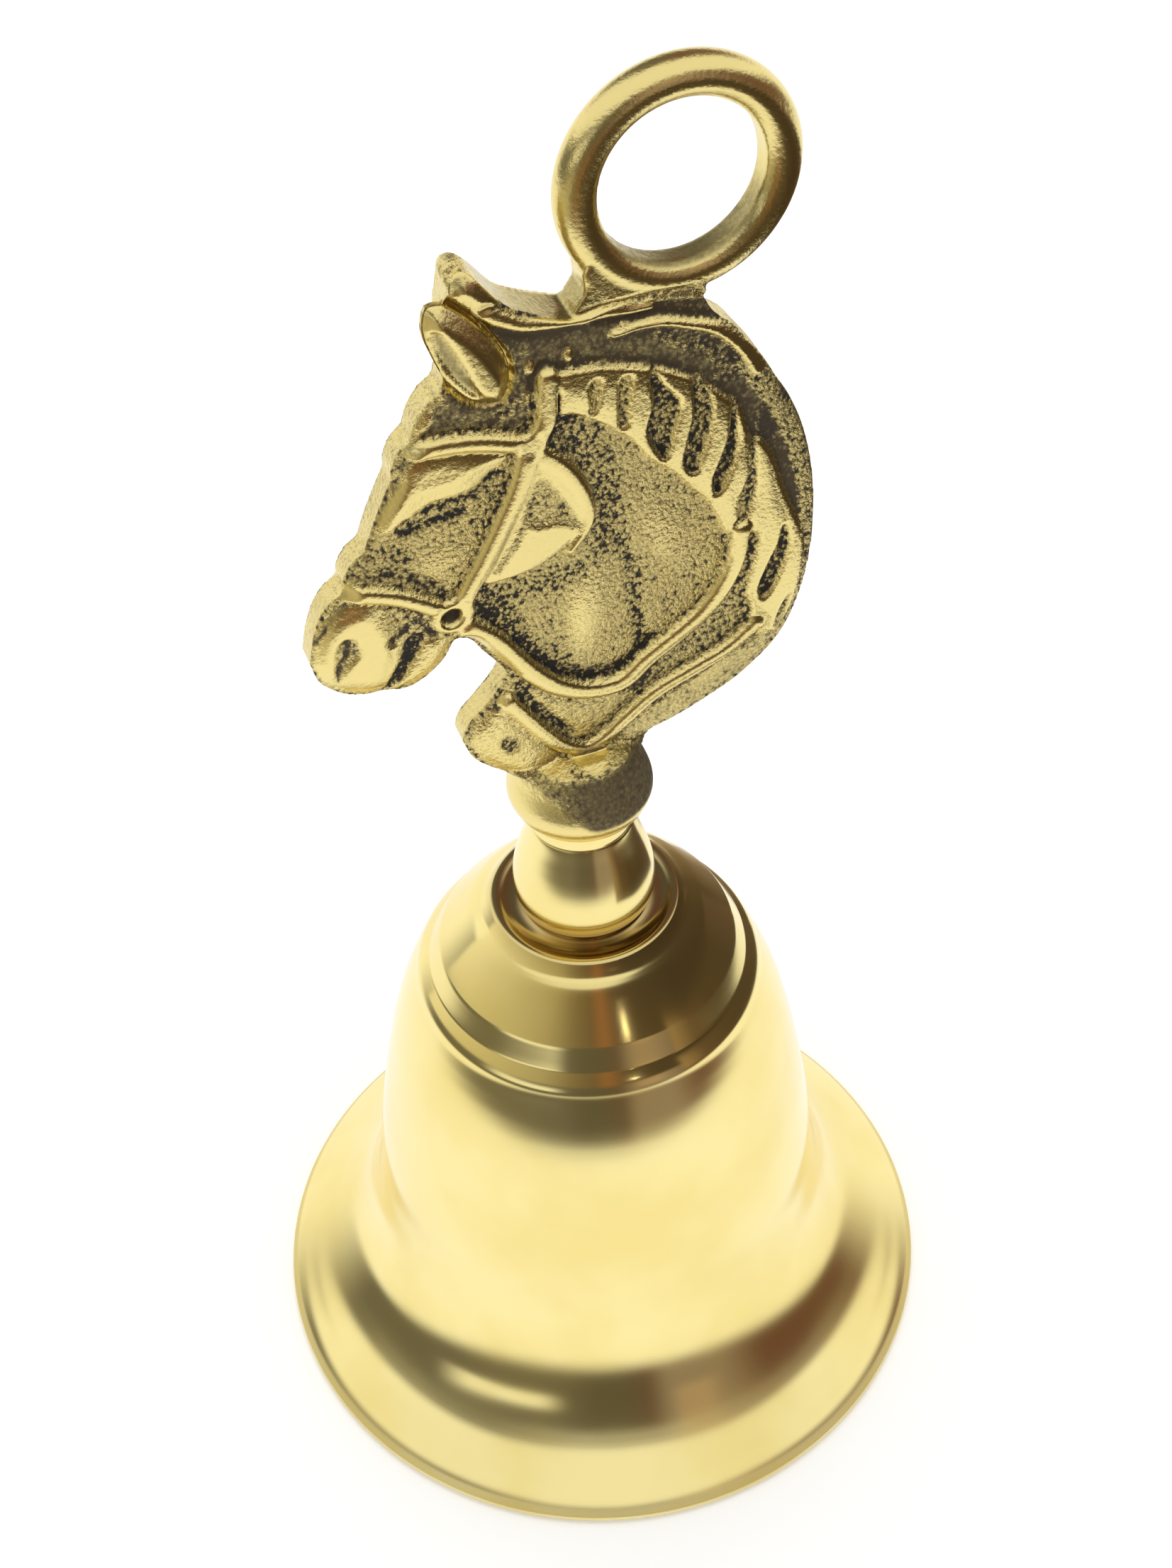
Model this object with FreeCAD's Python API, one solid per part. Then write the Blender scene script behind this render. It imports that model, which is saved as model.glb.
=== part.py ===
import FreeCAD, Part

# Brass hand bell with a flat, cast horse's-head handle. Millimetres.
# The rim stands on Z = 0 and +Z runs up the bell's axis. The horse's head is a
# flat casting in the XZ plane: its nose points to -X and its neck to +X. The
# hanging ring is at the top. A clapper hangs inside on an eye bolt.
#
# The shell, ferrule, handle, eye bolt, washer and nut are clamped together.
# The link swings about X on the bolt's eye, and the clapper about Y on the link.

import math
import os

V = FreeCAD.Vector
Y_AXIS = V(0, 1, 0)
Z_AXIS = V(0, 0, 1)

# ---- driving dimensions -----------------------------------------------------

# Bell shell, given as (radius, height) along its outer and inner profiles.
RIM_R = 30.0              # mouth radius
LIP_FLAT_R = 29.6         # outer radius of the flat ring that the bell stands on
LIP_INNER_R = 28.7        # inner radius of that ring
LIP_TOP = (29.8, 1.3)     # where the rounded lip meets the flare
FLARE_AND_WAIST = [
    (27.6, 2.95), (25.3, 4.9), (22.6, 8.1), (20.75, 12.4), (19.8, 17.5), (19.4, 22.0),
    (18.6, 28.0), (17.5, 34.0), (16.6, 37.3), (15.55, 40.0),
]
SHOULDER_END = (14.7, 42.0)
SHOULDER_MID = (14.48, 42.68)
SHOULDER_TOP = (14.1, 43.25)
BAND_LOW = (13.35, 44.05)  # plain band round the foot of the crown's cone
BAND_TOP = (12.45, 45.85)
CONE = [(12.0, 46.45), (11.2, 47.45), (10.5, 48.32), (9.85, 49.1), (9.4, 49.55)]
BEAD = [(8.95, 49.92), (8.5, 50.28), (8.1, 50.76), (7.75, 51.1), (7.4, 51.18), (7.1, 51.06)]
GUTTER = [(6.75, 50.82), (6.25, 50.74), (5.75, 50.92)]
SEAT_R = 5.3              # flat seat that the ferrule stands on
SEAT_Z = 51.2
INNER_WALL = [
    (26.2, 1.45), (23.7, 3.9), (21.2, 7.2), (19.45, 11.4), (18.35, 17.0), (17.8, 22.0),
    (17.0, 28.0), (15.9, 34.0), (14.7, 38.0), (12.9, 41.5), (10.3, 44.5),
]
CROWN_UNDER_R = 7.0       # flat underside of the crown
CROWN_UNDER_Z = 46.4

# Stud, nut and washer (an M5 screw, plain shank in place of its thread).
STUD_R = 2.5
CLEAR_R = 2.65            # clearance hole in crown, washer and ferrule
STUD_TOP_Z = 66.0
SOCKET_TOP_Z = 66.8       # end of the blind hole in the handle
WASHER_R = 5.5
WASHER_T = 1.0
NUT_ACROSS_FLATS = 8.0
NUT_H = 4.0
NUT_CHAMFER_H = 0.4

# Eye of the bolt, wire link and clapper.
EYE_R = 3.5               # centreline radius of the bolt's eye
EYE_WIRE_R = 1.2
EYE_Z = 36.4
TAPER_GAP = 0.3           # plain shank under the nut before the taper starts
TAPER_OVERLAP = 0.4       # depth that the taper runs into the eye
LINK_END_R = 2.4          # centreline radius of the link's two round ends
LINK_WIRE_R = 0.8
LINK_STRAIGHT = 3.0
CLAPPER_EYE_R = 2.0
CLAPPER_WIRE_R = 0.8
ROD_R = 1.1
BALL_R = 5.5
BALL_Z = 9.8
BALL_FLAT_DEPTH = 0.4     # how far up the ball its flat underside is cut
PEEN_R = 1.8
PEEN_FACE_R = 1.3
PEEN_H = 0.8

# Ferrule, given as (radius, height) up its outside.
FERRULE_BODY = [
    (5.2, 51.2), (5.52, 51.75), (5.75, 52.4), (5.85, 53.2), (5.83, 54.1), (5.72, 55.0), (5.5, 56.0),
    (5.22, 57.0), (4.9, 58.0), (4.57, 59.0), (4.3, 59.85),
]
FERRULE_SHOULDER = (4.18, 60.2)
FERRULE_TOP_Z = 60.5
GROOVE_R = 4.05
HANDLE_FOOT_Z = 62.0      # top of the ferrule's groove, where the handle stands

# Handle casting: the bulb, turned on the bell's axis.
BULB = [
    (4.25, 62.0), (4.72, 62.22), (5.18, 62.7), (5.52, 63.3), (5.73, 63.9), (5.78, 64.4),
    (5.7, 65.0), (5.47, 65.75), (5.2, 66.5), (4.98, 67.2), (4.78, 67.9), (4.55, 68.5), (4.2, 68.9),
]

# Hanging ring, in the plane of the head.
RING_X = 8.62
RING_Z = 116.39
RING_R = 7.11
RING_WIRE_R = 1.47
RING_BORE_R = 5.85        # short straight wall inside the ring
RING_FOOT = [(1.5, 111.6), (1.6, 110.2), (1.2, 109.6), (0.8, 108.2), (4.0, 107.0), (8.0, 107.0),
             (10.0, 107.4), (9.6, 108.6), (6.6, 109.2), (3.6, 110.6), (2.3, 112.0)]
RING_FOOT_Y = 1.37        # half thickness of the web between ring and head

# The head's half thickness at its sunk ground, raised features and bands.
GROUND_Y = 1.35
FORM_Y = 1.8
BAND_Y = 2.15
EAR_Y = 2.4

# Outline of the head, (x, z). Each list is one smooth stretch and shares its
# end points with its neighbours.
OUTLINE = [
    # back of the neck, from the bulb up the crest to the foot of the ring
    [(4.4, 67.6), (5.2, 68.6), (7.6, 69.4), (10.4, 70.6), (13.2, 72.1), (16.1, 74.8),
     (17.7, 78.2), (18.6, 82.6), (18.7, 87.6), (18.3, 91.4), (17.5, 94.8), (16.4, 97.6),
     (15.4, 99.4)],
    [(15.4, 99.4), (14.3, 101.5), (13.0, 103.4), (12.0, 104.8), (10.8, 105.9), (10.1, 107.2)],
    # foot of the ring, then the poll and the far ear
    [(10.1, 107.2), (8.6, 108.4), (5.0, 108.6), (2.0, 108.5), (0.6, 108.5), (-1.2, 109.1),
     (-3.0, 110.0), (-3.8, 110.6), (-4.5, 111.5), (-5.2, 112.5), (-5.9, 113.5)],
    [(-5.9, 113.5), (-6.6, 114.0), (-7.2, 113.6), (-7.6, 112.8), (-7.7, 111.8)],
    # forelock and the bridge of the nose
    [(-7.7, 111.8), (-8.0, 109.5), (-8.1, 107.4), (-8.6, 105.3)],
    [(-8.6, 105.3), (-9.7, 104.5), (-10.6, 103.2), (-11.0, 102.0)],
    [(-11.0, 102.0), (-11.9, 101.2), (-12.5, 100.0), (-12.6, 99.0)],
    [(-12.6, 99.0), (-13.5, 97.2), (-14.4, 95.2), (-15.0, 93.6)],
    [(-15.0, 93.6), (-16.0, 92.9), (-16.7, 91.7), (-16.8, 90.8)],
    # muzzle, mouth and chin
    [(-16.8, 90.8), (-17.9, 90.0), (-18.8, 88.7), (-19.5, 86.8), (-19.9, 84.9)],
    [(-19.9, 84.9), (-19.5, 83.2), (-18.7, 82.1), (-17.6, 81.2), (-16.2, 80.7), (-14.9, 80.6)],
    [(-14.9, 80.6), (-13.2, 80.2), (-11.6, 80.8), (-10.2, 82.0), (-9.3, 83.5)],
    [(-9.3, 83.5), (-8.2, 83.2), (-7.2, 81.6), (-6.2, 80.1), (-5.5, 78.8)],
    # chest and the foot of the neck
    [(-5.5, 78.8), (-6.3, 77.4), (-7.9, 75.6), (-9.0, 74.4), (-9.4, 73.2)],
    [(-9.4, 73.2), (-8.7, 71.2), (-7.6, 69.9), (-6.2, 68.7), (-4.4, 67.6)],
]

# Raised forms inside the outline, each a closed smooth loop of (x, z).
FORMS = {
    "cheek": [(-2.2, 98.9), (0.2, 95.8), (1.3, 92.4), (-1.0, 89.6), (-4.0, 88.3),
              (-7.6, 88.5), (-6.0, 92.0), (-3.9, 96.0)],
    "muzzle": [(-18.8, 86.8), (-18.9, 84.2), (-16.9, 82.0), (-15.0, 83.6), (-14.0, 87.8),
               (-16.6, 89.2)],
    "lower_lip": [(-13.4, 81.4), (-11.8, 81.4), (-10.6, 82.6), (-11.3, 84.0), (-12.9, 83.6)],
    "brow": [(-12.2, 97.8), (-10.2, 99.4), (-6.6, 99.3), (-5.4, 98.1), (-7.6, 96.6),
             (-10.8, 96.4)],
    "mane": [(0.6, 103.9), (5.6, 103.2), (9.2, 100.4), (11.9, 95.8), (14.0, 90.0), (12.0, 88.4),
             (8.2, 92.6), (3.6, 98.2), (0.2, 101.6)],
    "crest": [(17.2, 93.0), (15.0, 98.4), (13.2, 101.0), (15.2, 95.6), (16.9, 89.6),
              (16.0, 83.4), (14.6, 78.6), (16.4, 80.4), (17.7, 86.4)],
    "neck_muscle": [(1.6, 88.0), (3.5, 86.0), (3.6, 80.4), (2.4, 77.8), (0.6, 80.6), (0.4, 85.0)],
    "chest": [(-4.2, 76.6), (-2.8, 73.4), (-4.6, 70.9), (-7.4, 71.8), (-7.8, 73.8), (-5.8, 76.2)],
}

# Straps of the bridle, ridges under the ring and the two bands across the neck:
# width and centreline.
STRAPS = {
    "browband": (1.1, [(-10.4, 101.4), (-7.0, 100.8), (-3.1, 99.6)]),
    "crown_strap": (1.4, [(-2.3, 105.0), (-2.2, 102.4), (-3.1, 99.6)]),
    "ridge_at_poll": (0.9, [(-5.6, 110.9), (-3.6, 109.2), (-1.2, 108.3), (2.0, 107.9),
                            (5.0, 107.7)]),
    "ridge_at_crest": (0.8, [(3.6, 106.4), (7.0, 106.3), (10.0, 105.1), (12.2, 103.3),
                             (13.6, 101.2)]),
    "cheekpiece": (1.4, [(-3.1, 99.2), (-3.9, 96.0), (-6.5, 91.0), (-8.6, 87.8)]),
    "noseband": (1.3, [(-16.6, 90.8), (-13.8, 89.7), (-12.0, 88.7), (-10.6, 87.4)]),
    "rein": (1.3, [(-8.1, 85.1), (-5.0, 80.3), (-2.0, 76.7), (1.0, 75.1), (4.0, 75.7),
                   (8.5, 79.0), (11.5, 82.0), (13.0, 86.3)]),
    "neck_band": (1.0, [(-5.8, 76.8), (-3.5, 72.6), (-0.2, 69.5), (3.5, 71.4), (9.0, 74.3),
                        (14.0, 77.2)]),
}
BIT_RING = (-9.6, 86.4)   # centre of the bit ring
BIT_RING_R = 1.7
BIT_HOLE_R = 0.85
EAR = [(-4.6, 103.4), (-6.3, 103.4), (-8.2, 105.4), (-9.5, 108.6), (-9.4, 111.6),
       (-8.4, 111.4), (-6.8, 108.9), (-4.6, 105.4)]


PAST = 1.0                # how far cutting tools run past the surface they cut


# ---- helpers ----------------------------------------------------------------

def cylinder(radius, z_low, z_high):
    return Part.makeCylinder(radius, z_high - z_low, V(0, 0, z_low))


def in_xz(point):
    """A vector in the XZ plane from a (radius or x, z) pair."""
    return V(point[0], 0, point[1])


def line(start, end):
    return Part.makeLine(in_xz(start), in_xz(end))


def arc(start, middle, end):
    return Part.Arc(in_xz(start), in_xz(middle), in_xz(end)).toShape()


def curve(points):
    """One smooth edge through (x, z) points."""
    spline = Part.BSplineCurve()
    spline.interpolate([in_xz(p) for p in points])
    return spline.toShape()


def loop_face(points):
    """The face inside one closed smooth loop of (x, z) points."""
    spline = Part.BSplineCurve()
    spline.interpolate([in_xz(p) for p in points], PeriodicFlag=True)
    return Part.Face(Part.Wire([spline.toShape()]))


def turned(edges):
    """The solid that a closed profile of edges sweeps round the bell's axis."""
    face = Part.Face(Part.Wire(Part.__sortEdges__(edges)))
    return face.revolve(V(0, 0, 0), Z_AXIS, 360)


def slab(face, half_thickness):
    """A face in the XZ plane, thickened equally to both sides."""
    body = face.extrude(V(0, 2 * half_thickness, 0))
    body.translate(V(0, -half_thickness, 0))
    return body


def ribbon_face(width, centre):
    """A strap of constant width along a centreline of (x, z) points."""
    left, right = [], []
    for i, (x, z) in enumerate(centre):
        before = centre[max(i - 1, 0)]
        after = centre[min(i + 1, len(centre) - 1)]
        dx, dz = after[0] - before[0], after[1] - before[1]
        scale = width / 2 / math.hypot(dx, dz)
        left.append((x - dz * scale, z + dx * scale))
        right.append((x + dz * scale, z - dx * scale))
    edges = [curve(left), line(left[-1], right[-1]), curve(right), line(right[0], left[0])]
    return Part.Face(Part.Wire(Part.__sortEdges__(edges)))


def fused(shapes):
    """Shapes that touch or overlap, joined into one solid."""
    whole = shapes[0].multiFuse(shapes[1:])
    if len(whole.Solids) != 1:
        raise ValueError(f"{len(whole.Solids)} separate solids in place of one")
    return whole.Solids[0]


# ---- the clamped pieces -----------------------------------------------------

def bell_body():
    lip = (RIM_R, 0.6)
    outside = [
        line((LIP_INNER_R, 0), (LIP_FLAT_R, 0)),
        arc((LIP_FLAT_R, 0), lip, LIP_TOP),
        curve([LIP_TOP] + FLARE_AND_WAIST + [SHOULDER_END]),
        arc(SHOULDER_END, SHOULDER_MID, SHOULDER_TOP),
        line(SHOULDER_TOP, BAND_LOW),
        line(BAND_LOW, BAND_TOP),
        curve([BAND_TOP] + CONE + BEAD + GUTTER + [(SEAT_R, SEAT_Z)]),
        line((SEAT_R, SEAT_Z), (CLEAR_R, SEAT_Z)),
    ]
    inside = [
        line((CLEAR_R, SEAT_Z), (CLEAR_R, CROWN_UNDER_Z)),
        line((CLEAR_R, CROWN_UNDER_Z), (CROWN_UNDER_R, CROWN_UNDER_Z)),
        curve([(CROWN_UNDER_R, CROWN_UNDER_Z)] + INNER_WALL[::-1] + [(LIP_INNER_R, 0)]),
    ]
    return turned(outside + inside)


def neck_ferrule():
    edges = [
        line((CLEAR_R, SEAT_Z), FERRULE_BODY[0]),
        curve(FERRULE_BODY),
        arc(FERRULE_BODY[-1], FERRULE_SHOULDER, (GROOVE_R, FERRULE_TOP_Z)),
        line((GROOVE_R, FERRULE_TOP_Z), (GROOVE_R, HANDLE_FOOT_Z)),
        line((GROOVE_R, HANDLE_FOOT_Z), (CLEAR_R, HANDLE_FOOT_Z)),
        line((CLEAR_R, HANDLE_FOOT_Z), (CLEAR_R, SEAT_Z)),
    ]
    return turned(edges)


def turned_foot():
    """Bulb under the horse's neck."""
    edges = [
        line((0, HANDLE_FOOT_Z), BULB[0]),
        curve(BULB),
        line(BULB[-1], (0, BULB[-1][1])),
        line((0, BULB[-1][1]), (0, HANDLE_FOOT_Z)),
    ]
    return turned(edges)


def hanging_ring():
    centre = V(RING_X, 0, RING_Z)
    ring = Part.makeTorus(RING_R, RING_WIRE_R, centre, Y_AXIS)
    bore_start = centre - Y_AXIS * RING_WIRE_R
    bore = Part.makeCylinder(RING_BORE_R, 2 * RING_WIRE_R, bore_start, Y_AXIS)
    return fused([ring, slab(loop_face(RING_FOOT), RING_FOOT_Y)]).cut(bore)


def horse_handle():
    stretches = [curve(points) for points in OUTLINE]
    foot = line(OUTLINE[-1][-1], OUTLINE[0][0])
    outline = Part.Face(Part.Wire(stretches + [foot]))
    shapes = [slab(outline, GROUND_Y), turned_foot(), hanging_ring()]
    shapes += [slab(loop_face(points), FORM_Y) for points in FORMS.values()]
    shapes += [slab(ribbon_face(width, centre), BAND_Y) for width, centre in STRAPS.values()]
    shapes.append(slab(loop_face(EAR), EAR_Y))
    bit = V(BIT_RING[0], -BAND_Y, BIT_RING[1])
    shapes.append(Part.makeCylinder(BIT_RING_R, 2 * BAND_Y, bit, Y_AXIS))
    casting = fused(shapes)
    for side in (-1, 1):
        dimple = V(BIT_RING[0], side * GROUND_Y, BIT_RING[1])
        casting = casting.cut(Part.makeCylinder(BIT_HOLE_R, 2, dimple, Y_AXIS * side))
    return casting.cut(cylinder(STUD_R, HANDLE_FOOT_Z - PAST, SOCKET_TOP_Z))


def crown_washer():
    low = CROWN_UNDER_Z - WASHER_T
    return cylinder(WASHER_R, low, CROWN_UNDER_Z).cut(cylinder(CLEAR_R, low, CROWN_UNDER_Z))


def clamp_nut():
    """Hexagon nut with its corners turned off at both ends."""
    high = CROWN_UNDER_Z - WASHER_T
    low = high - NUT_H
    corner_r = NUT_ACROSS_FLATS / 2 / math.cos(math.pi / 6)
    corners = [V(corner_r * math.cos(math.radians(60 * i)),
                 corner_r * math.sin(math.radians(60 * i)), low) for i in range(7)]
    prism = Part.Face(Part.makePolygon(corners)).extrude(V(0, 0, NUT_H))
    flat_r = NUT_ACROSS_FLATS / 2
    barrel = turned([
        line((0, low), (flat_r, low)),
        line((flat_r, low), (corner_r, low + NUT_CHAMFER_H)),
        line((corner_r, low + NUT_CHAMFER_H), (corner_r, high - NUT_CHAMFER_H)),
        line((corner_r, high - NUT_CHAMFER_H), (flat_r, high)),
        line((flat_r, high), (0, high)),
        line((0, high), (0, low)),
    ])
    return prism.common(barrel).cut(cylinder(STUD_R, low - PAST, high + PAST))


def clapper_eye_bolt():
    """Stud, tapered below the nut into an eye that lies in the XZ plane."""
    nut_low = CROWN_UNDER_Z - WASHER_T - NUT_H
    taper_top = nut_low - TAPER_GAP
    taper_low = EYE_Z + EYE_R - TAPER_OVERLAP
    stud = cylinder(STUD_R, taper_top, STUD_TOP_Z)
    taper = Part.makeCone(EYE_WIRE_R, STUD_R, taper_top - taper_low, V(0, 0, taper_low))
    eye = Part.makeTorus(EYE_R, EYE_WIRE_R, V(0, 0, EYE_Z), Y_AXIS)
    return fused([stud, taper, eye])


# ---- the swinging pieces ----------------------------------------------------

LINK_PIVOT_Z = EYE_Z - EYE_R
CLAPPER_PIVOT_Z = LINK_PIVOT_Z - LINK_STRAIGHT - LINK_END_R
BALL_LOW_Z = BALL_Z - BALL_R + BALL_FLAT_DEPTH


def clapper_link():
    """Closed wire link in the YZ plane, a straight-sided oval."""
    top = LINK_PIVOT_Z
    low = LINK_PIVOT_Z - LINK_STRAIGHT
    r = LINK_END_R
    path = Part.Wire([
        Part.Arc(V(0, -r, top), V(0, 0, top + r), V(0, r, top)).toShape(),
        Part.makeLine(V(0, r, top), V(0, r, low)),
        Part.Arc(V(0, r, low), V(0, 0, low - r), V(0, -r, low)).toShape(),
        Part.makeLine(V(0, -r, low), V(0, -r, top)),
    ])
    section = Part.Wire([Part.makeCircle(LINK_WIRE_R, V(0, -r, top), Z_AXIS)])
    return path.makePipeShell([section], True, True)


def clapper_rod():
    """Wire with an eye at its top and a peened head under the ball."""
    eye = Part.makeTorus(CLAPPER_EYE_R, CLAPPER_WIRE_R, V(0, 0, CLAPPER_PIVOT_Z), Y_AXIS)
    neck_top = CLAPPER_PIVOT_Z - CLAPPER_EYE_R
    rod = cylinder(ROD_R, BALL_LOW_Z, neck_top)
    peen = Part.makeCone(PEEN_FACE_R, PEEN_R, PEEN_H / 2, V(0, 0, BALL_LOW_Z - PEEN_H))
    peen_top = cylinder(PEEN_R, BALL_LOW_Z - PEEN_H / 2, BALL_LOW_Z)
    return fused([rod, eye, peen, peen_top])


def clapper_ball():
    """Ball with a flat under it for the peened head, bored for the wire."""
    ball = Part.makeSphere(BALL_R, V(0, 0, BALL_Z))
    ball = ball.cut(cylinder(BALL_R, BALL_LOW_Z - BALL_R, BALL_LOW_Z))
    return ball.cut(cylinder(ROD_R, BALL_LOW_Z - PAST, BALL_Z + BALL_R + PAST))


PIECES = {
    "bell_body": bell_body,
    "neck_ferrule": neck_ferrule,
    "horse_handle": horse_handle,
    "crown_washer": crown_washer,
    "clamp_nut": clamp_nut,
    "clapper_eye_bolt": clapper_eye_bolt,
    "clapper_link": clapper_link,
    "clapper_rod": clapper_rod,
    "clapper_ball": clapper_ball,
}

os.makedirs("parts", exist_ok=True)
for name, make in PIECES.items():
    shape = make()
    if shape.ShapeType != "Solid":
        shape = shape.Solids[0]
    box = shape.optimalBoundingBox(False)
    print(f"{name:18s} valid {shape.isValid()}  volume {shape.Volume:9.1f} mm3  "
          f"z {box.ZMin:7.3f} to {box.ZMax:7.3f}")
    shape.exportStep(f"parts/{name}.step")
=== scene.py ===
import math

import bmesh
import bpy
import numpy as np
from mathutils import Matrix, Vector


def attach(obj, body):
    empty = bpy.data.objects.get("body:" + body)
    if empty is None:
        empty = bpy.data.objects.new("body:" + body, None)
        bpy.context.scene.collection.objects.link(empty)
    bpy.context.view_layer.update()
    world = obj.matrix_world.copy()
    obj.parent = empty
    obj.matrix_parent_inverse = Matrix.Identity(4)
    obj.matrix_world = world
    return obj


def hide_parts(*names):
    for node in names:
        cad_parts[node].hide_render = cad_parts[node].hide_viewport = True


# Brass hand bell with a horse-head handle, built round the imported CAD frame.
# The modelling is in millimetres, in the frame's own axes: the bell stands on
# z = 0, the flat head lies in the XZ plane and its nose points to -X. Meshes
# are scaled to metres when they become objects.

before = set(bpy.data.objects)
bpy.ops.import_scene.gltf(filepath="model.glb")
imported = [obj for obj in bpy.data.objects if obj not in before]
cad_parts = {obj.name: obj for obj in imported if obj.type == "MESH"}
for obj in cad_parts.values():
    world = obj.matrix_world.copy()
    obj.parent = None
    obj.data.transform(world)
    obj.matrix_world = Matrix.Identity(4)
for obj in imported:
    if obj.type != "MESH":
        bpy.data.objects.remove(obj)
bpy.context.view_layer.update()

MM = 0.001


# ---- camera ----

CAMERA_PLACE = (-43.1, -124.1, 200.4)   # mm
CAMERA_YAW = 19.37                      # degrees from +Y towards +X
CAMERA_DOWN = 46.12                     # degrees below the horizon
CAMERA_ROLL = -2.61
CAMERA_LENS = 55.32                     # mm, for the 36 mm long side of the frame


def add_camera():
    yaw, down, roll = (math.radians(a) for a in (CAMERA_YAW, CAMERA_DOWN, CAMERA_ROLL))
    forward = Vector((math.sin(yaw) * math.cos(down), math.cos(yaw) * math.cos(down),
                      -math.sin(down)))
    level = Vector((math.cos(yaw), -math.sin(yaw), 0))
    upright = level.cross(forward)
    right = math.cos(roll) * level + math.sin(roll) * upright
    up = -math.sin(roll) * level + math.cos(roll) * upright
    turn = Matrix((right, up, -forward)).transposed().to_4x4()
    data = bpy.data.cameras.new("camera")
    data.sensor_width = 36
    data.lens = CAMERA_LENS
    data.clip_start, data.clip_end = 0.01, 20
    camera = bpy.data.objects.new("camera", data)
    bpy.context.scene.collection.objects.link(camera)
    camera.matrix_world = Matrix.Translation(Vector(CAMERA_PLACE) * MM) @ turn
    bpy.context.scene.camera = camera


# ---- small helpers ----

def smooth(t):
    """0 below 0, 1 above 1, with a soft rise between."""
    t = np.clip(t, 0, 1)
    return t * t * (3 - 2 * t)


def spline(points, per_span=8, closed=False):
    """A smooth line through (a, b) points, as a denser array of points."""
    p = np.array(points, float)
    if closed:
        p = np.vstack([p[-1], p, p[:2]])
    else:
        p = np.vstack([2 * p[0] - p[1], p, 2 * p[-1] - p[-2]])
    t = np.arange(per_span)[:, None] / per_span
    spans = []
    for a, b, c, d in zip(p, p[1:], p[2:], p[3:]):
        spans.append(0.5 * (2 * b + (c - a) * t + (2 * a - 5 * b + 4 * c - d) * t**2
                            + (3 * b - a - 3 * c + d) * t**3))
    line = np.vstack(spans)
    return line if closed else np.vstack([line, p[-2]])


def distance(points, line, closed=False):
    """Distance from each point to a line of points, and the share of the line's
    length at the nearest place."""
    if closed:
        line = np.vstack([line, line[:1]])
    start, step = line[:-1], np.diff(line, axis=0)
    length = np.hypot(*step.T)
    before = np.concatenate([[0], np.cumsum(length)[:-1]])
    best = np.full(len(points), 1e9)
    share = np.zeros(len(points))
    for a, d, size, so_far in zip(start, step, length, before):
        if size == 0:
            continue
        t = np.clip((points - a) @ d / size**2, 0, 1)
        gap = np.hypot(*(points - a - t[:, None] * d).T)
        nearer = gap < best
        best[nearer] = gap[nearer]
        share[nearer] = (so_far + t[nearer] * size) / length.sum()
    return best, share


def inside(points, loop):
    """Distance inside a closed loop; negative outside it."""
    gap, _ = distance(points, loop, closed=True)
    x, z = points.T
    odd = np.zeros(len(points), bool)
    for a, b in zip(loop, np.roll(loop, -1, axis=0)):
        crosses = (a[1] > z) != (b[1] > z)
        run = b[1] - a[1] if b[1] != a[1] else 1e-12
        odd ^= crosses & (x < (b[0] - a[0]) * (z - a[1]) / run + a[0])
    return np.where(odd, gap, -gap)


def new_object(name, bm):
    """A mesh object in metres from a bmesh in millimetres."""
    bmesh.ops.recalc_face_normals(bm, faces=bm.faces)
    mesh = bpy.data.meshes.new(name)
    bm.to_mesh(mesh)
    bm.free()
    mesh.transform(Matrix.Scale(MM, 4))
    mesh.shade_smooth()
    thing = bpy.data.objects.new(name, mesh)
    bpy.context.scene.collection.objects.link(thing)
    return thing


def add_lathe(bm, profile, segments):
    """Turns a closed (radius, z) profile about the bell's axis."""
    angles = np.arange(segments) * 2 * math.pi / segments
    rings = []
    for r, z in profile:
        rings.append([bm.verts.new((r * math.cos(a), r * math.sin(a), z)) for a in angles])
    for low, high in zip(rings, rings[1:] + rings[:1]):
        for i in range(segments):
            j = (i + 1) % segments
            bm.faces.new((low[i], low[j], high[j], high[i]))


def add_slab(bm, loop, y_low, y_high):
    """A closed (x, z) loop as a plate between two y planes."""
    low = [bm.verts.new((x, y_low, z)) for x, z in loop]
    high = [bm.verts.new((x, y_high, z)) for x, z in loop]
    bm.faces.new(low)
    bm.faces.new(high[::-1])
    for i in range(len(loop)):
        j = (i + 1) % len(loop)
        bm.faces.new((low[j], low[i], high[i], high[j]))


def arc_points(centre, radius, start, end, count):
    """Points on an arc in the (radius, z) plane, angles in degrees."""
    angles = np.radians(np.linspace(start, end, count))
    return [(centre[0] + radius * math.cos(a), centre[1] + radius * math.sin(a)) for a in angles]


# ---- materials ----

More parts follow.
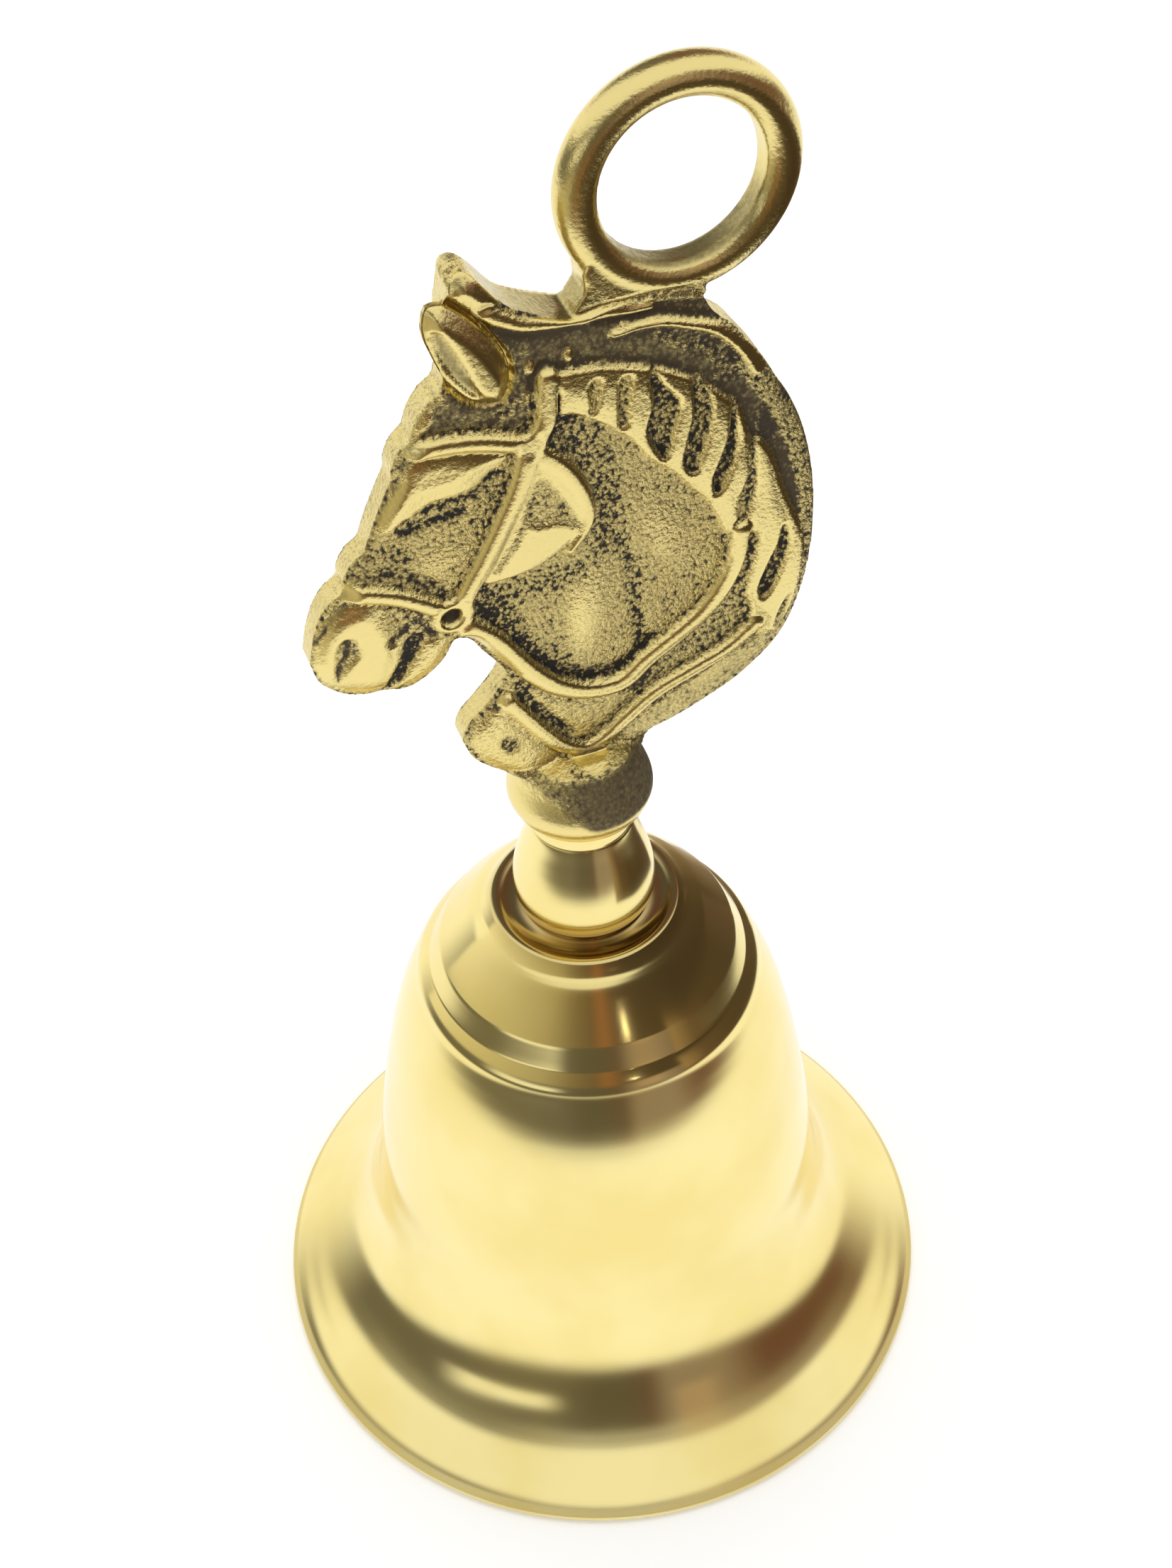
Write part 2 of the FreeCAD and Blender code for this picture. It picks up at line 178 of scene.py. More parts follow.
class Nodes:
    """Short calls for making the nodes of one material or world."""

    def __init__(self, owner, shader="Principled BSDF"):
        owner.use_nodes = True
        self.owner = owner
        self.tree = owner.node_tree
        self.shader = self.tree.nodes[shader]

    def add(self, kind, inputs=None, **settings):
        node = self.tree.nodes.new(kind)
        for key, value in settings.items():
            setattr(node, key, value)
        for key, value in (inputs or {}).items():
            if isinstance(value, bpy.types.NodeSocket):
                self.tree.links.new(value, node.inputs[key])
            else:
                node.inputs[key].default_value = value
        return node

    def link(self, output, key):
        self.tree.links.new(output, self.shader.inputs[key])

    def math(self, operation, a, b=0.0):
        return self.add("ShaderNodeMath", {0: a, 1: b}, operation=operation).outputs[0]

    def times(self, a, b):
        return self.math("MULTIPLY", a, b)

    def less_half(self, value):
        return self.math("SUBTRACT", value, 0.5)

    def step(self, value, low, high, to_low=0.0, to_high=1.0):
        """value from low to high, eased, as a number from to_low to to_high."""
        node = self.add("ShaderNodeMapRange", {
            "Value": value, "From Min": low, "From Max": high, "To Min": to_low,
            "To Max": to_high}, interpolation_type="SMOOTHSTEP")
        return node.outputs["Result"]

    def mix(self, share, a, b):
        node = self.add("ShaderNodeMix", {"Factor": share}, data_type="RGBA")
        for key, value in ((6, a), (7, b)):
            if isinstance(value, bpy.types.NodeSocket):
                self.tree.links.new(value, node.inputs[key])
            else:
                node.inputs[key].default_value = (*value, 1)
        return node.outputs[2]

    def place(self):
        return self.add("ShaderNodeTexCoord").outputs["Object"]

    def noise(self, scale_mm, where=None, detail=2.0):
        """Noise whose lumps are about scale_mm across, averaging one half."""
        node = self.add("ShaderNodeTexNoise", {
            "Vector": where or self.place(), "Scale": 1 / (scale_mm * MM), "Detail": detail})
        return node.outputs["Fac"]

    def stretched(self, scale, turn=(0, 0, 0)):
        """Object coordinates, turned (degrees) and then scaled along each axis."""
        node = self.add("ShaderNodeMapping", {
            "Vector": self.place(), "Rotation": [math.radians(a) for a in turn],
            "Scale": scale})
        return node.outputs["Vector"]

    def value(self, name):
        return self.add("ShaderNodeAttribute", attribute_name=name).outputs["Fac"]

    def bump(self, height, distance_mm, normal=None):
        inputs = {"Height": height, "Distance": distance_mm * MM, "Strength": 1.0}
        if normal is not None:
            inputs["Normal"] = normal
        return self.add("ShaderNodeBump", inputs).outputs["Normal"]


def new_surface(name):
    return Nodes(bpy.data.materials.new(name))


POLISHED = (0.94, 0.80, 0.36)
CLOUDED = (0.90, 0.735, 0.28)     # polished brass with a breath of tarnish
GUTTER_SHADE_BROWN = (0.44, 0.31, 0.14)
WORN = (0.86, 0.71, 0.29)         # the casting's raised parts
OLIVE = (0.52, 0.43, 0.18)
PATINA_AND_SHADE_BROWN = (0.092, 0.066, 0.033)
NEAR_BLACK = (0.030, 0.027, 0.022)


def turned_brass():
    """Mirror-bright lathe-turned brass with fine turning rings."""
    n = new_surface("turned_brass")
    rings = n.noise(1.2, n.stretched((0.02, 0.02, 1.0)), detail=4)
    cloud = n.noise(14, detail=3)
    tint = n.step(cloud, 0.35, 0.7)
    place = n.place()
    height = n.add("ShaderNodeSeparateXYZ", {"Vector": place}).outputs["Z"]
    flat = n.add("ShaderNodeVectorMath", {0: place, 1: (1, 1, 0)}, operation="MULTIPLY")
    radius = n.add("ShaderNodeVectorMath", {0: flat.outputs[0]},
                   operation="LENGTH").outputs["Value"]
    # painted shade: brown in the gutter round the ferrule's foot
    above = n.step(height, 49.8 * MM, 50.5 * MM)
    below = n.step(height, 51.9 * MM, 52.6 * MM, 1.0, 0.0)
    gutter_shade = n.times(n.times(above, below), n.step(radius, 7.0 * MM, 8.6 * MM, 0.7, 0.0))
    clean = n.mix(tint, POLISHED, CLOUDED)
    n.link(n.mix(gutter_shade, clean, GUTTER_SHADE_BROWN), "Base Color")
    n.shader.inputs["Metallic"].default_value = 1.0
    # the rim is worn to satin where it meets the table
    worn = n.step(radius, 29.3 * MM, 29.7 * MM, 0.0, 0.4)
    n.link(n.math("ADD", n.step(cloud, 0.3, 0.75, 0.13, 0.19), worn), "Roughness")
    fine = n.bump(rings, 0.0015)
    n.link(n.bump(cloud, 0.02, fine), "Normal")
    return n.owner


def cast_brass():
    """Cast brass: worn bright on the raised parts, olive and dark in the hollows,
    from patina and painted shade, with black specks where the skin is rough."""
    n = new_surface("cast_brass")
    dark, grain = n.value("patina"), n.value("grain")
    hatch = n.noise(0.34, n.stretched((1.0, 1.0, 0.6), (0, 38, 0)), detail=3)
    pits = n.noise(0.13, detail=2)
    lumps = n.noise(1.3, detail=3)
    # small scales, their cells pushed about by a noise
    push = n.add("ShaderNodeTexNoise", {"Vector": n.place(), "Scale": 1 / (0.5 * MM)})
    pushed = n.add("ShaderNodeVectorMath", {
        0: push.outputs["Color"], 1: (0.3 * MM,) * 3, 2: n.place()}, operation="MULTIPLY_ADD")
    scales = n.add("ShaderNodeTexVoronoi", {
        "Vector": pushed.outputs[0], "Scale": 1 / (0.36 * MM)}).outputs["Distance"]
    fleck = n.math("ADD", n.times(hatch, 0.45), n.times(pits, 0.27))
    fleck = n.math("ADD", fleck, n.times(scales, 0.30))
    specks = n.times(n.less_half(fleck), n.times(grain, 4.2))
    sway = n.times(n.times(n.less_half(lumps), 0.7), grain)
    # the vertices' patina and painted shade, raised by the specks and a slow sway
    level = n.math("ADD", dark, n.math("ADD", specks, sway))
    olive_share = n.step(level, 0.12, 0.62)
    dark_share = n.step(level, 0.42, 0.74)
    # near black at the highest level: in the specks, and in the deepest painted shade
    blackest = n.times(n.step(level, 0.62, 0.9), n.step(grain, 0.2, 0.7, 0.2, 1.0))
    colour = n.mix(olive_share, WORN, OLIVE)
    colour = n.mix(dark_share, colour, PATINA_AND_SHADE_BROWN)
    n.link(n.mix(blackest, colour, NEAR_BLACK), "Base Color")
    n.link(n.step(dark_share, 0.0, 1.0, 1.0, 0.6), "Metallic")
    rough = n.math("ADD", dark_share, n.times(grain, 0.3))
    n.link(n.step(rough, 0.0, 1.0, 0.24, 0.6), "Roughness")
    relief = n.times(n.math("SUBTRACT", 0.5, fleck), n.math("ADD", grain, 0.04))
    n.link(n.bump(relief, 0.42), "Normal")
    return n.owner


def dull_brass():
    """Unpolished brass of the clapper's ball."""
    n = new_surface("dull_brass")
    cloud = n.noise(2.2, detail=4)
    spots = n.noise(0.5, detail=2)
    n.link(n.mix(n.step(cloud, 0.35, 0.68), (0.62, 0.47, 0.20), (0.30, 0.22, 0.10)), "Base Color")
    n.shader.inputs["Metallic"].default_value = 1.0
    n.link(n.step(cloud, 0.3, 0.7, 0.32, 0.5), "Roughness")
    n.link(n.bump(spots, 0.03), "Normal")
    return n.owner


def plated_steel():
    """Dull zinc plate with a faint spangle."""
    n = new_surface("plated_steel")
    cloud = n.noise(1.3, detail=4)
    grain = n.noise(0.2, detail=2)
    n.link(n.mix(n.step(cloud, 0.35, 0.7), (0.52, 0.51, 0.48), (0.36, 0.34, 0.30)), "Base Color")
    n.shader.inputs["Metallic"].default_value = 1.0
    n.link(n.step(grain, 0.3, 0.7, 0.34, 0.46), "Roughness")
    n.link(n.bump(grain, 0.01), "Normal")
    return n.owner


# ---- turned pieces ----

STUD_BORE_R = 2.65
SEAT_R, SEAT_Z = 5.2, 51.2        # the crown's flat seat, on which the ferrule stands
CROWN_UNDER_Z = 46.4
GROOVE_R = 4.05                   # the groove at the ferrule's top
HANDLE_FOOT_Z = 62.0
BELL_SEGMENTS = 256
FERRULE_SEGMENTS = 128


def bell_profile():
    """The shell's closed (radius, z) section, lip to crown and back inside."""
    lip = (arc_points((29.35, 0.65), 0.65, -90, 20, 9)
           + arc_points((29.82, 0.82), 0.15, 27, 48, 4))
    flare = spline([lip[-1], (28.95, 1.87), (27.6, 2.95), (25.3, 4.9), (22.6, 8.1), (20.75, 12.4),
                    (19.8, 17.5), (19.4, 22), (18.9, 25.6), (18.3, 29.2), (17.7, 32.4),
                    (17.1, 35.2), (16.5, 37.4), (15.9, 39.2), (15.3, 40.7), (14.72, 42)], 8)[1:]
    shoulder = spline([(14.65, 42.2), (14.48, 42.68), (14.14, 43.2), (13.7, 43.68),
                       (13.42, 43.95)], 5)
    band = spline([(13.33, 44.1), (13.1, 44.55), (12.75, 45.25), (12.5, 45.75)], 4)
    crown = spline([(12.38, 45.97), (12, 46.45), (11.2, 47.45), (10.5, 48.32), (9.85, 49.1),
                    (9.4, 49.55), (8.95, 49.92), (8.5, 50.28), (8.1, 50.76), (7.75, 51.1),
                    (7.4, 51.18), (7.1, 51.12), (6.75, 51), (6.25, 50.95), (5.75, 51.04),
                    (5.32, 51.19)], 5)
    seat = [(SEAT_R, SEAT_Z), (4, SEAT_Z), (STUD_BORE_R, SEAT_Z)]
    bore = [(STUD_BORE_R, z) for z in (49.5, 48, CROWN_UNDER_Z)]
    inner = spline([(5, CROWN_UNDER_Z), (7, 46.35), (10.3, 44.5), (12.9, 41.5), (14.7, 38),
                    (15.9, 34), (17, 28), (17.8, 22), (18.35, 17), (19.45, 11.4),
                    (21.2, 7.2), (23.7, 3.9), (26.2, 1.45), (28.55, 0.05)], 8)
    return np.vstack([lip, flare, shoulder, band, crown, seat, bore, inner])


def ferrule_profile():
    """The ferrule's closed (radius, z) section."""
    body = spline([(SEAT_R, SEAT_Z), (5.52, 51.75), (5.75, 52.4), (5.85, 53.2), (5.83, 54.1),
                   (5.72, 55), (5.5, 56), (5.22, 57), (4.9, 58), (4.57, 59),
                   (4.3, 59.85), (4.18, 60.2), (4.08, 60.42), (GROOVE_R, 60.6)], 5)
    groove = [(GROOVE_R, z) for z in (61, 61.5, HANDLE_FOOT_Z)]
    bore = [(STUD_BORE_R, z) for z in (HANDLE_FOOT_Z, 58, 54, SEAT_Z)]
    return np.vstack([body, groove, bore, [(4, SEAT_Z)]])


def turned_piece(name, node, profile, material, segments):
    bm = bmesh.new()
    add_lathe(bm, profile, segments)
    piece = new_object(name, bm)
    piece.data.materials.append(material)
    piece.data.set_sharp_from_angle(angle=math.radians(40))
    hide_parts(node)
    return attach(piece, "bell")


# ---- the cast handle ----

# Outline of the head at mid thickness, (x, z), in smooth stretches that share
# their end points.
OUTLINE = [
    # back of the neck, from the bulb up the crest to the foot of the ring
    [(4.4, 67.6), (5.2, 68.6), (7.6, 69.4), (10.4, 70.6), (13.2, 72.1), (16.1, 74.8),
     (17.7, 78.2), (18.6, 82.6), (18.7, 87.6), (18.3, 91.4), (17.5, 94.8), (16.4, 97.6),
     (15.4, 99.4)],
    [(15.4, 99.4), (14.3, 101.5), (13, 103.4), (12, 104.8), (10.8, 105.9), (10.1, 107.2)],
    # foot of the ring, then the poll and the far ear
    [(10.1, 107.2), (8.6, 108.4), (5, 108.6), (2, 108.5), (0.6, 108.5), (-1.2, 109.1),
     (-3, 110), (-3.8, 110.6), (-4.5, 111.5), (-5.2, 112.5), (-5.9, 113.5)],
    [(-5.9, 113.5), (-6.6, 114), (-7.2, 113.6), (-7.6, 112.8), (-7.7, 111.8)],
    # forelock and the bridge of the nose
    [(-7.7, 111.8), (-8, 109.5), (-8.1, 107.4), (-8.6, 105.3)],
    [(-8.6, 105.3), (-9.7, 104.5), (-10.6, 103.2), (-11, 102)],
    [(-11, 102), (-11.9, 101.2), (-12.5, 100), (-12.6, 99)],
    [(-12.6, 99), (-13.5, 97.2), (-14.4, 95.2), (-15, 93.6)],
    [(-15, 93.6), (-16, 92.9), (-16.7, 91.7), (-16.8, 90.8)],
    # muzzle, mouth and chin
    [(-16.8, 90.8), (-17.9, 90), (-18.8, 88.7), (-19.5, 86.8), (-19.9, 84.9)],
    [(-19.9, 84.9), (-19.5, 83.2), (-18.7, 82.1), (-17.6, 81.2), (-16.2, 80.7), (-14.9, 80.6)],
    [(-14.9, 80.6), (-13.2, 80.2), (-11.6, 80.8), (-10.2, 82), (-9.3, 83.5)],
    [(-9.3, 83.5), (-8.2, 83.2), (-7.2, 81.6), (-6.2, 80.1), (-5.5, 78.8)],
    # chest and the foot of the neck
    [(-5.5, 78.8), (-6.3, 77.4), (-7.9, 75.6), (-9, 74.4), (-9.4, 73.2)],
    [(-9.4, 73.2), (-8.7, 71.2), (-7.6, 69.9), (-6.2, 68.7), (-4.4, 67.6)],
]

PLATE_Y = 1.8             # half thickness of the plain plate before the relief
VOXEL = 0.205             # mesh spacing of the casting
RING_CENTRE = (8.62, 116.39)
RING_R = 7.11
WIRE_R = 1.47
RING_BORE_R = 5.85
BULB_SIDE = [(4.25, HANDLE_FOOT_Z), (4.72, 62.22), (5.18, 62.7), (5.52, 63.3), (5.73, 63.9),
             (5.78, 64.4), (5.7, 65), (5.47, 65.75), (5.2, 66.5), (4.98, 67.2), (4.72, 67.85),
             (4.2, 68.5)]
SOCKET_R = 2.5
SOCKET_TOP = 66.8

EAR_Y = (-2.4, -1)      # the near ear is a slab on the front only
NEAR_EAR = [(-8.3, 112.2), (-9.2, 112.2), (-9.6, 111.2), (-9.6, 110), (-9.2, 108.6),
            (-8.8, 107.4), (-8.4, 106.4), (-7.7, 105.3), (-6.8, 104.3), (-5.8, 103.7),
            (-4.7, 103.6), (-4.1, 104.8), (-4, 106), (-4.5, 107.4), (-5.3, 108.9),
            (-6.2, 110.2), (-7.3, 111.4)]
EAR_HOLLOW = [(-8.8, 110.2), (-8.3, 108.8), (-7.8, 107.5), (-7, 105.8), (-6.5, 104.9)]


def outline_loop():
    stretches = [spline(points, 6)[:-1] for points in OUTLINE]
    return np.vstack(stretches + [np.array([OUTLINE[-1][-1]])])


def add_ring(bm):
    """The hanging ring: a round wire whose bore is flat across."""
    ring_steps, wire_steps = 128, 40
    loops = []
    for i in range(ring_steps):
        a = 2 * math.pi * i / ring_steps
        loop = []
        for j in range(wire_steps):
            b = 2 * math.pi * j / wire_steps
            r = max(RING_R + WIRE_R * math.cos(b), RING_BORE_R)
            loop.append(bm.verts.new((RING_CENTRE[0] + r * math.cos(a), WIRE_R * math.sin(b),
                                      RING_CENTRE[1] + r * math.sin(a))))
        loops.append(loop)
    for one, two in zip(loops, loops[1:] + loops[:1]):
        for j in range(wire_steps):
            k = (j + 1) % wire_steps
            bm.faces.new((one[j], one[k], two[k], two[j]))


def casting_blank():
    """Plate, ring, ear and turned foot, each a closed shape that meets the next."""
    bm = bmesh.new()
    add_slab(bm, outline_loop(), -PLATE_Y, PLATE_Y)
    foot = spline([(1.5, 111.6), (1.6, 110.2), (1.2, 109.6), (0.8, 108.2), (4, 107),
                   (8, 107), (10, 107.4), (9.6, 108.6), (6.6, 109.2), (3.6, 110.6),
                   (2.3, 112)], 6, closed=True)
    add_slab(bm, foot, -WIRE_R * 0.92, WIRE_R * 0.92)
    add_slab(bm, spline(NEAR_EAR, 6, closed=True), *EAR_Y)
    nub = Matrix.Translation((-6.9, 0.2, 113.4)) @ Matrix.Diagonal((0.95, 1.45, 1.1, 1))
    bmesh.ops.create_icosphere(bm, subdivisions=4, radius=1, matrix=nub)
    rod = (Matrix.Translation((-6.1, -0.95, 112.2)) @ Matrix.Rotation(math.radians(42), 4, "Y")
           @ Matrix.Diagonal((2.1, 0.8, 0.85, 1)))
    bmesh.ops.create_icosphere(bm, subdivisions=4, radius=1, matrix=rod)
    side = spline(BULB_SIDE, 6)
    cap = [(3, 69), (0.02, 69.2)]
    socket = [(0.02, SOCKET_TOP), (SOCKET_R, SOCKET_TOP), (SOCKET_R, HANDLE_FOOT_Z)]
    add_lathe(bm, np.vstack([side, cap, socket]), 96)
    add_ring(bm)
    return bm


def remeshed(thing, voxel_mm):
    """The object's overlapping shapes joined into one skin of even small faces."""
    remesh = thing.modifiers.new("remesh", "REMESH")
    remesh.mode = "VOXEL"
    remesh.voxel_size = voxel_mm * MM
    remesh.use_smooth_shade = True
    view = bpy.context.evaluated_depsgraph_get()
    mesh = bpy.data.meshes.new_from_object(thing.evaluated_get(view))
    thing.modifiers.remove(remesh)
    old = thing.data
    thing.data = mesh
    bpy.data.meshes.remove(old)
    return thing


class Relief:
    """Half thickness, patina and painted shade, and grain over the head, built up feature by
    feature.

    Every place is (x, z) in mm as the front face shows it. Both faces get the
    same relief. Height is in mm; patina and grain run from 0 to 1.
    """

    def __init__(self, points):
        self.p = points
        self.values = {"height": np.full(len(points), 1.3), "patina": np.full(len(points), 0.3),
                       "grain": np.full(len(points), 0.7)}

    def near(self, line, margin):
        """Indices of the points in a box round the line."""
        low, high = line.min(axis=0) - margin, line.max(axis=0) + margin
        return np.flatnonzero(((self.p > low) & (self.p < high)).all(axis=1))

    def lay(self, at, mask, **targets):
        """Moves each named value towards its target by the mask's share."""
        for name, target in targets.items():
            values = self.values[name]
            values[at] += (target - values[at]) * mask

    def lift(self, at, rise):
        self.values["height"][at] += rise

    def area(self, loop, edge=0.35, dome=0, **what):
        """A closed smooth region. dome is how much its middle rises."""
        loop = spline(loop, 6, closed=True)
        at = self.near(loop, 1)
        depth = inside(self.p[at], loop)
        mask = smooth(depth / edge + 0.5)
        if dome:
            what["height"] = what["height"] + dome * smooth(depth / 1.6)
        self.lay(at, mask, **what)

    def band(self, line, width, edge=0.22, crown=0, shadow=0, **what):
        """A strip along a line. width is one number or one for each end."""
        line = spline(line, 6)
        start, end = width if isinstance(width, tuple) else (width, width)
        at = self.near(line, max(start, end) / 2 + 1)
        gap, share = distance(self.p[at], line)
        half = (start + (end - start) * share) / 2
        # painted shadow: a dark, slightly sunk halo along both sides of the strip
        if shadow:
            around = smooth((half + 0.5 - gap) / 0.5)
            patina = self.values["patina"]
            patina[at] = np.maximum(patina[at], around * shadow)
            self.lift(at, -0.08 * around)
        mask = smooth((half - gap) / edge + 0.5)
        if crown:
            what["height"] = what["height"] + crown * (1 - np.clip(gap / half, 0, 1) ** 2)
        self.lay(at, mask, **what)

    def spot(self, centre, radii, turn=0, soft=0.6, dome=0, **what):
        """A soft oval, radii in mm, turned by degrees. dome lifts its middle."""
        at = self.near(np.array([centre]), max(radii))
        c, s = math.cos(math.radians(turn)), math.sin(math.radians(turn))
        dx, dz = (self.p[at] - np.array(centre)).T
        q = np.hypot((c * dx + s * dz) / radii[0], (-s * dx + c * dz) / radii[1])
        self.lift(at, dome * smooth(1 - q))
        self.lay(at, smooth((1 - q) / soft), **what)


def neck_relief(r):
    """Neck, mane, crest and the two bands below them."""
    # sunk, grainy field of the neck and the hollow under the crest
    r.area([(-7.8, 87.6), (-3, 89), (1.2, 93), (0.6, 100.6), (5.2, 96.6), (9, 91.6),
            (11.6, 87.2), (11, 82.6), (6.4, 78.4), (2.2, 76.6), (-2.4, 78.4), (-6, 83.6)],
           edge=0.5, height=1.36, patina=0.11, grain=0.85)
    r.band([(0.6, 99.5), (1.9, 96.9), (2.6, 93.9), (2.6, 90.9), (1.6, 88.2), (0, 87),
            (-3.1, 86.8), (-6.4, 86.6)], 2, edge=1.6, patina=0.44, grain=1)
    r.band([(-7, 86.6), (-5.7, 84.5), (-4.9, 82.2), (-3.5, 80.2), (-1.8, 78.6)], 2.2,
           edge=1.6, patina=0.6, grain=1, height=1.25)
    r.band([(2.9, 90), (4, 87.2), (4.6, 83.8), (4.6, 80.6), (4.9, 78.4)], 1, edge=1,
           patina=0.46, grain=1, height=1.25)
    r.spot((6.8, 88.2), (2.3, 5), 18, soft=0.9, patina=0.03, grain=0.5, dome=0.2)
    r.spot((9, 84.6), (2.2, 2.4), 30, soft=0.9, patina=0.2, grain=0.7)
    r.spot((0.7, 83), (2.3, 6), -4, soft=0.8, patina=0.01, grain=0.32, dome=0.36)
    r.band([(-2.6, 78.6), (-1, 77.4), (0.8, 76.7), (2.6, 76.6), (4.2, 77.2), (5.4, 78.6)],
           1.2, edge=0.9, patina=0.62, grain=0.8, height=1.15)
    # crest: sunk valley under the ring, dark hollow, rough outer band
    r.area([(2, 108.2), (5, 108.2), (9, 107.6), (10.4, 106.9), (11, 105.4), (8.8, 106.2),
            (5.2, 107), (2.4, 107.2)], edge=0.4, height=1, patina=0.62, grain=0.25)
    r.area([(-5.2, 109.2), (-2.6, 108.4), (1, 107.9), (5, 106.5), (9, 105.2),
            (11.6, 103.2), (13.4, 100.4), (15.2, 96.8), (16.6, 92.8), (17.8, 87.4),
            (16.9, 85.8), (15.6, 89.4), (14.2, 93.4), (12.8, 96.2), (11, 99.4),
            (8, 102), (4, 104), (0, 104.8), (-4, 103.4)],
           edge=0.5, height=1.15, patina=0.62, grain=0.14)
    r.spot((15, 96), (1.6, 5), -22, patina=0.7, grain=0.4)
    r.spot((12, 101.2), (1.4, 2.2), -45, patina=0.66, grain=0.4)
    r.area([(13.6, 101.4), (15.2, 99.4), (17.4, 94.6), (18.6, 89), (18.7, 84.6), (17.8, 84.4),
            (17.5, 88), (16.6, 92.4), (15.2, 96.4), (13.4, 99.6), (12.4, 101.4)],
           edge=0.6, height=1.42, patina=0.34, grain=0.9)
    r.area([(6.4, 105.9), (9, 105), (11.4, 103.2), (13, 100.8), (11.8, 100.6),
            (10, 102.8), (7.4, 104.4)], edge=1, patina=0.56, grain=0.5)
    # mane: one raised mass with a ragged lower edge
    r.area([(-1.3, 104.3), (1.8, 104.4), (4.4, 103.7), (7, 102.7), (9.2, 101.2), (11.4, 99.2),
            (12.6, 97.6), (13.4, 94.6), (13.7, 92.2), (13, 90.2), (12.5, 87.8), (11.8, 86.6),
            (11.1, 88.2), (10.3, 90), (9, 91.8), (7.5, 93.8), (5.8, 95.5), (4.4, 97.6),
            (2.6, 99.4), (0.6, 100.9), (-0.9, 101.6)],
           edge=0.3, height=1.72, dome=0.12, patina=0.03, grain=0.1)
    locks = [
        ([(-0.9, 103), (-1, 101.2), (-1.2, 99.4), (-0.8, 98.4)], (0.6, 1), 0.62),
        ([(1.9, 103), (1.8, 101.7), (1.6, 100.9)], (0.9, 0.4), 0.16),
        ([(4.1, 102.6), (3.9, 100.8), (3.8, 99.2)], (1, 0.7), 0.26),
        ([(6.1, 102.9), (6.6, 101), (6.5, 98.9), (6.6, 97.2), (6.8, 95.5)], (0.5, 0.5), 0.5),
        ([(9.4, 101), (9.6, 99.4), (9.4, 97.2), (9, 95.3), (9.1, 93.6)], (0.9, 0.6), 0.5),
        ([(12.1, 98.4), (12, 96.2), (11.7, 94), (11.1, 92.2), (10.8, 91)], (0.5, 0.4), 0.5),
    ]
    for line, width, shade in locks:
        r.band(line, width, edge=0.3, height=1.45, patina=shade, grain=0.8)
    hollows = [
        [(5.9, 102.4), (7.2, 101), (8, 99.6), (7.6, 97.6), (6.9, 95.3), (6, 96.7),
         (5.6, 98.3), (6.1, 100.3)],
        [(9.1, 101), (10.2, 100), (10.4, 97.8), (9.9, 95.4), (9, 93.4), (8.3, 94.6),
         (8.6, 96.4), (9.1, 98.6)],
        [(12.1, 97.4), (12.4, 95), (12, 93), (11, 90.9), (10.5, 92.2), (11.2, 94.2),
         (11.8, 96)],
    ]
    for loop in hollows:
        r.area(loop, height=1.32, patina=0.46, grain=0.9)
        r.band([loop[0], loop[-1], loop[-2], loop[-3], loop[-4]], 0.45, edge=0.4, patina=0.64)
    r.area([(13.2, 95.6), (14, 92), (13.6, 89.6), (12.8, 87.6), (12.5, 89.6), (13.3, 92)],
           edge=0.4, patina=0.42, grain=1, height=1.5)
    # locks at the foot of the crest
    r.area([(13.8, 94.6), (15.1, 93), (16.2, 89.4), (17.2, 86.6), (18, 83.4), (17.6, 79.8),
            (16.4, 76.6), (14.9, 75.6), (13.6, 77.6), (12.4, 80.4), (12.2, 83.4), (12.9, 86.6),
            (13.9, 89.8)], height=1.62, dome=0.14, patina=0.04, grain=0.1)
    r.area([(13, 86), (14.2, 85.8), (13.9, 83.4), (13.3, 80.6), (13.6, 78.6), (12.6, 79.6),
            (12.3, 82.4)], edge=0.4, height=1.35, patina=0.4, grain=0.8)
    r.area([(16.2, 86.2), (16.7, 84.4), (16.2, 82.2), (15.2, 80), (14.6, 79.6), (14.3, 80.8),
            (15, 82.8), (15.8, 84.6)], height=1.32, patina=0.52, grain=0.8)
    r.area([(16.9, 79.2), (16.6, 77.6), (16.2, 76.2), (15.7, 76.6), (16.2, 78.2)],
           height=1.4, patina=0.4, grain=0.7)
    # fields between the rein and the neck band, and below it
    r.area([(3.6, 73.6), (6.4, 75.2), (12.2, 76.7), (13.8, 78.2), (12.6, 81.4), (10.4, 79.6),
            (7, 77.3), (4.6, 75.3), (3, 74.2)], height=1.3, patina=0.36, grain=0.75)
    r.spot((4.6, 74.6), (1.6, 1.2), 40, patina=0.72, grain=0.5)
    r.area([(1, 68.4), (4, 70.6), (8.6, 73), (13.8, 75.6), (15.4, 75.2), (12.6, 72.4),
            (8, 69.8), (4, 67.4)], edge=0.4, height=1.42, patina=0.36, grain=0.35)
    r.spot((10.5, 73.2), (2.4, 0.8), 28, patina=0.14, grain=0.3)
    r.area([(-5.2, 77.2), (-3, 76.4), (0.4, 74.6), (2.8, 74.2), (2.4, 72.4), (-0.1, 70.4),
            (-2.2, 72.2), (-4.4, 75.4)], edge=0.4, height=1.36, dome=0.15, patina=0.16,
           grain=0.5)
    r.band([(-4.9, 77.4), (-4.3, 76), (-2.8, 73.6), (-1.2, 71.4)], 0.9, edge=0.7,
           patina=0.55, grain=0.8, height=1.2)
    r.area([(-5.3, 77.8), (-6.6, 76.2), (-8.4, 74.6), (-8.8, 72.8), (-7.4, 70.2), (-5.6, 68.4),
            (-2, 68.2), (-2.6, 70.6), (-4.2, 73), (-5.2, 75.2)], height=1.45,
           dome=0.2, patina=0.08, grain=0.3)
    r.spot((-5.9, 72), (1, 1.5), 25, patina=0.62, grain=0.6)
    r.spot((-6.4, 76.2), (1, 0.6), 40, patina=0.6, grain=0.4)
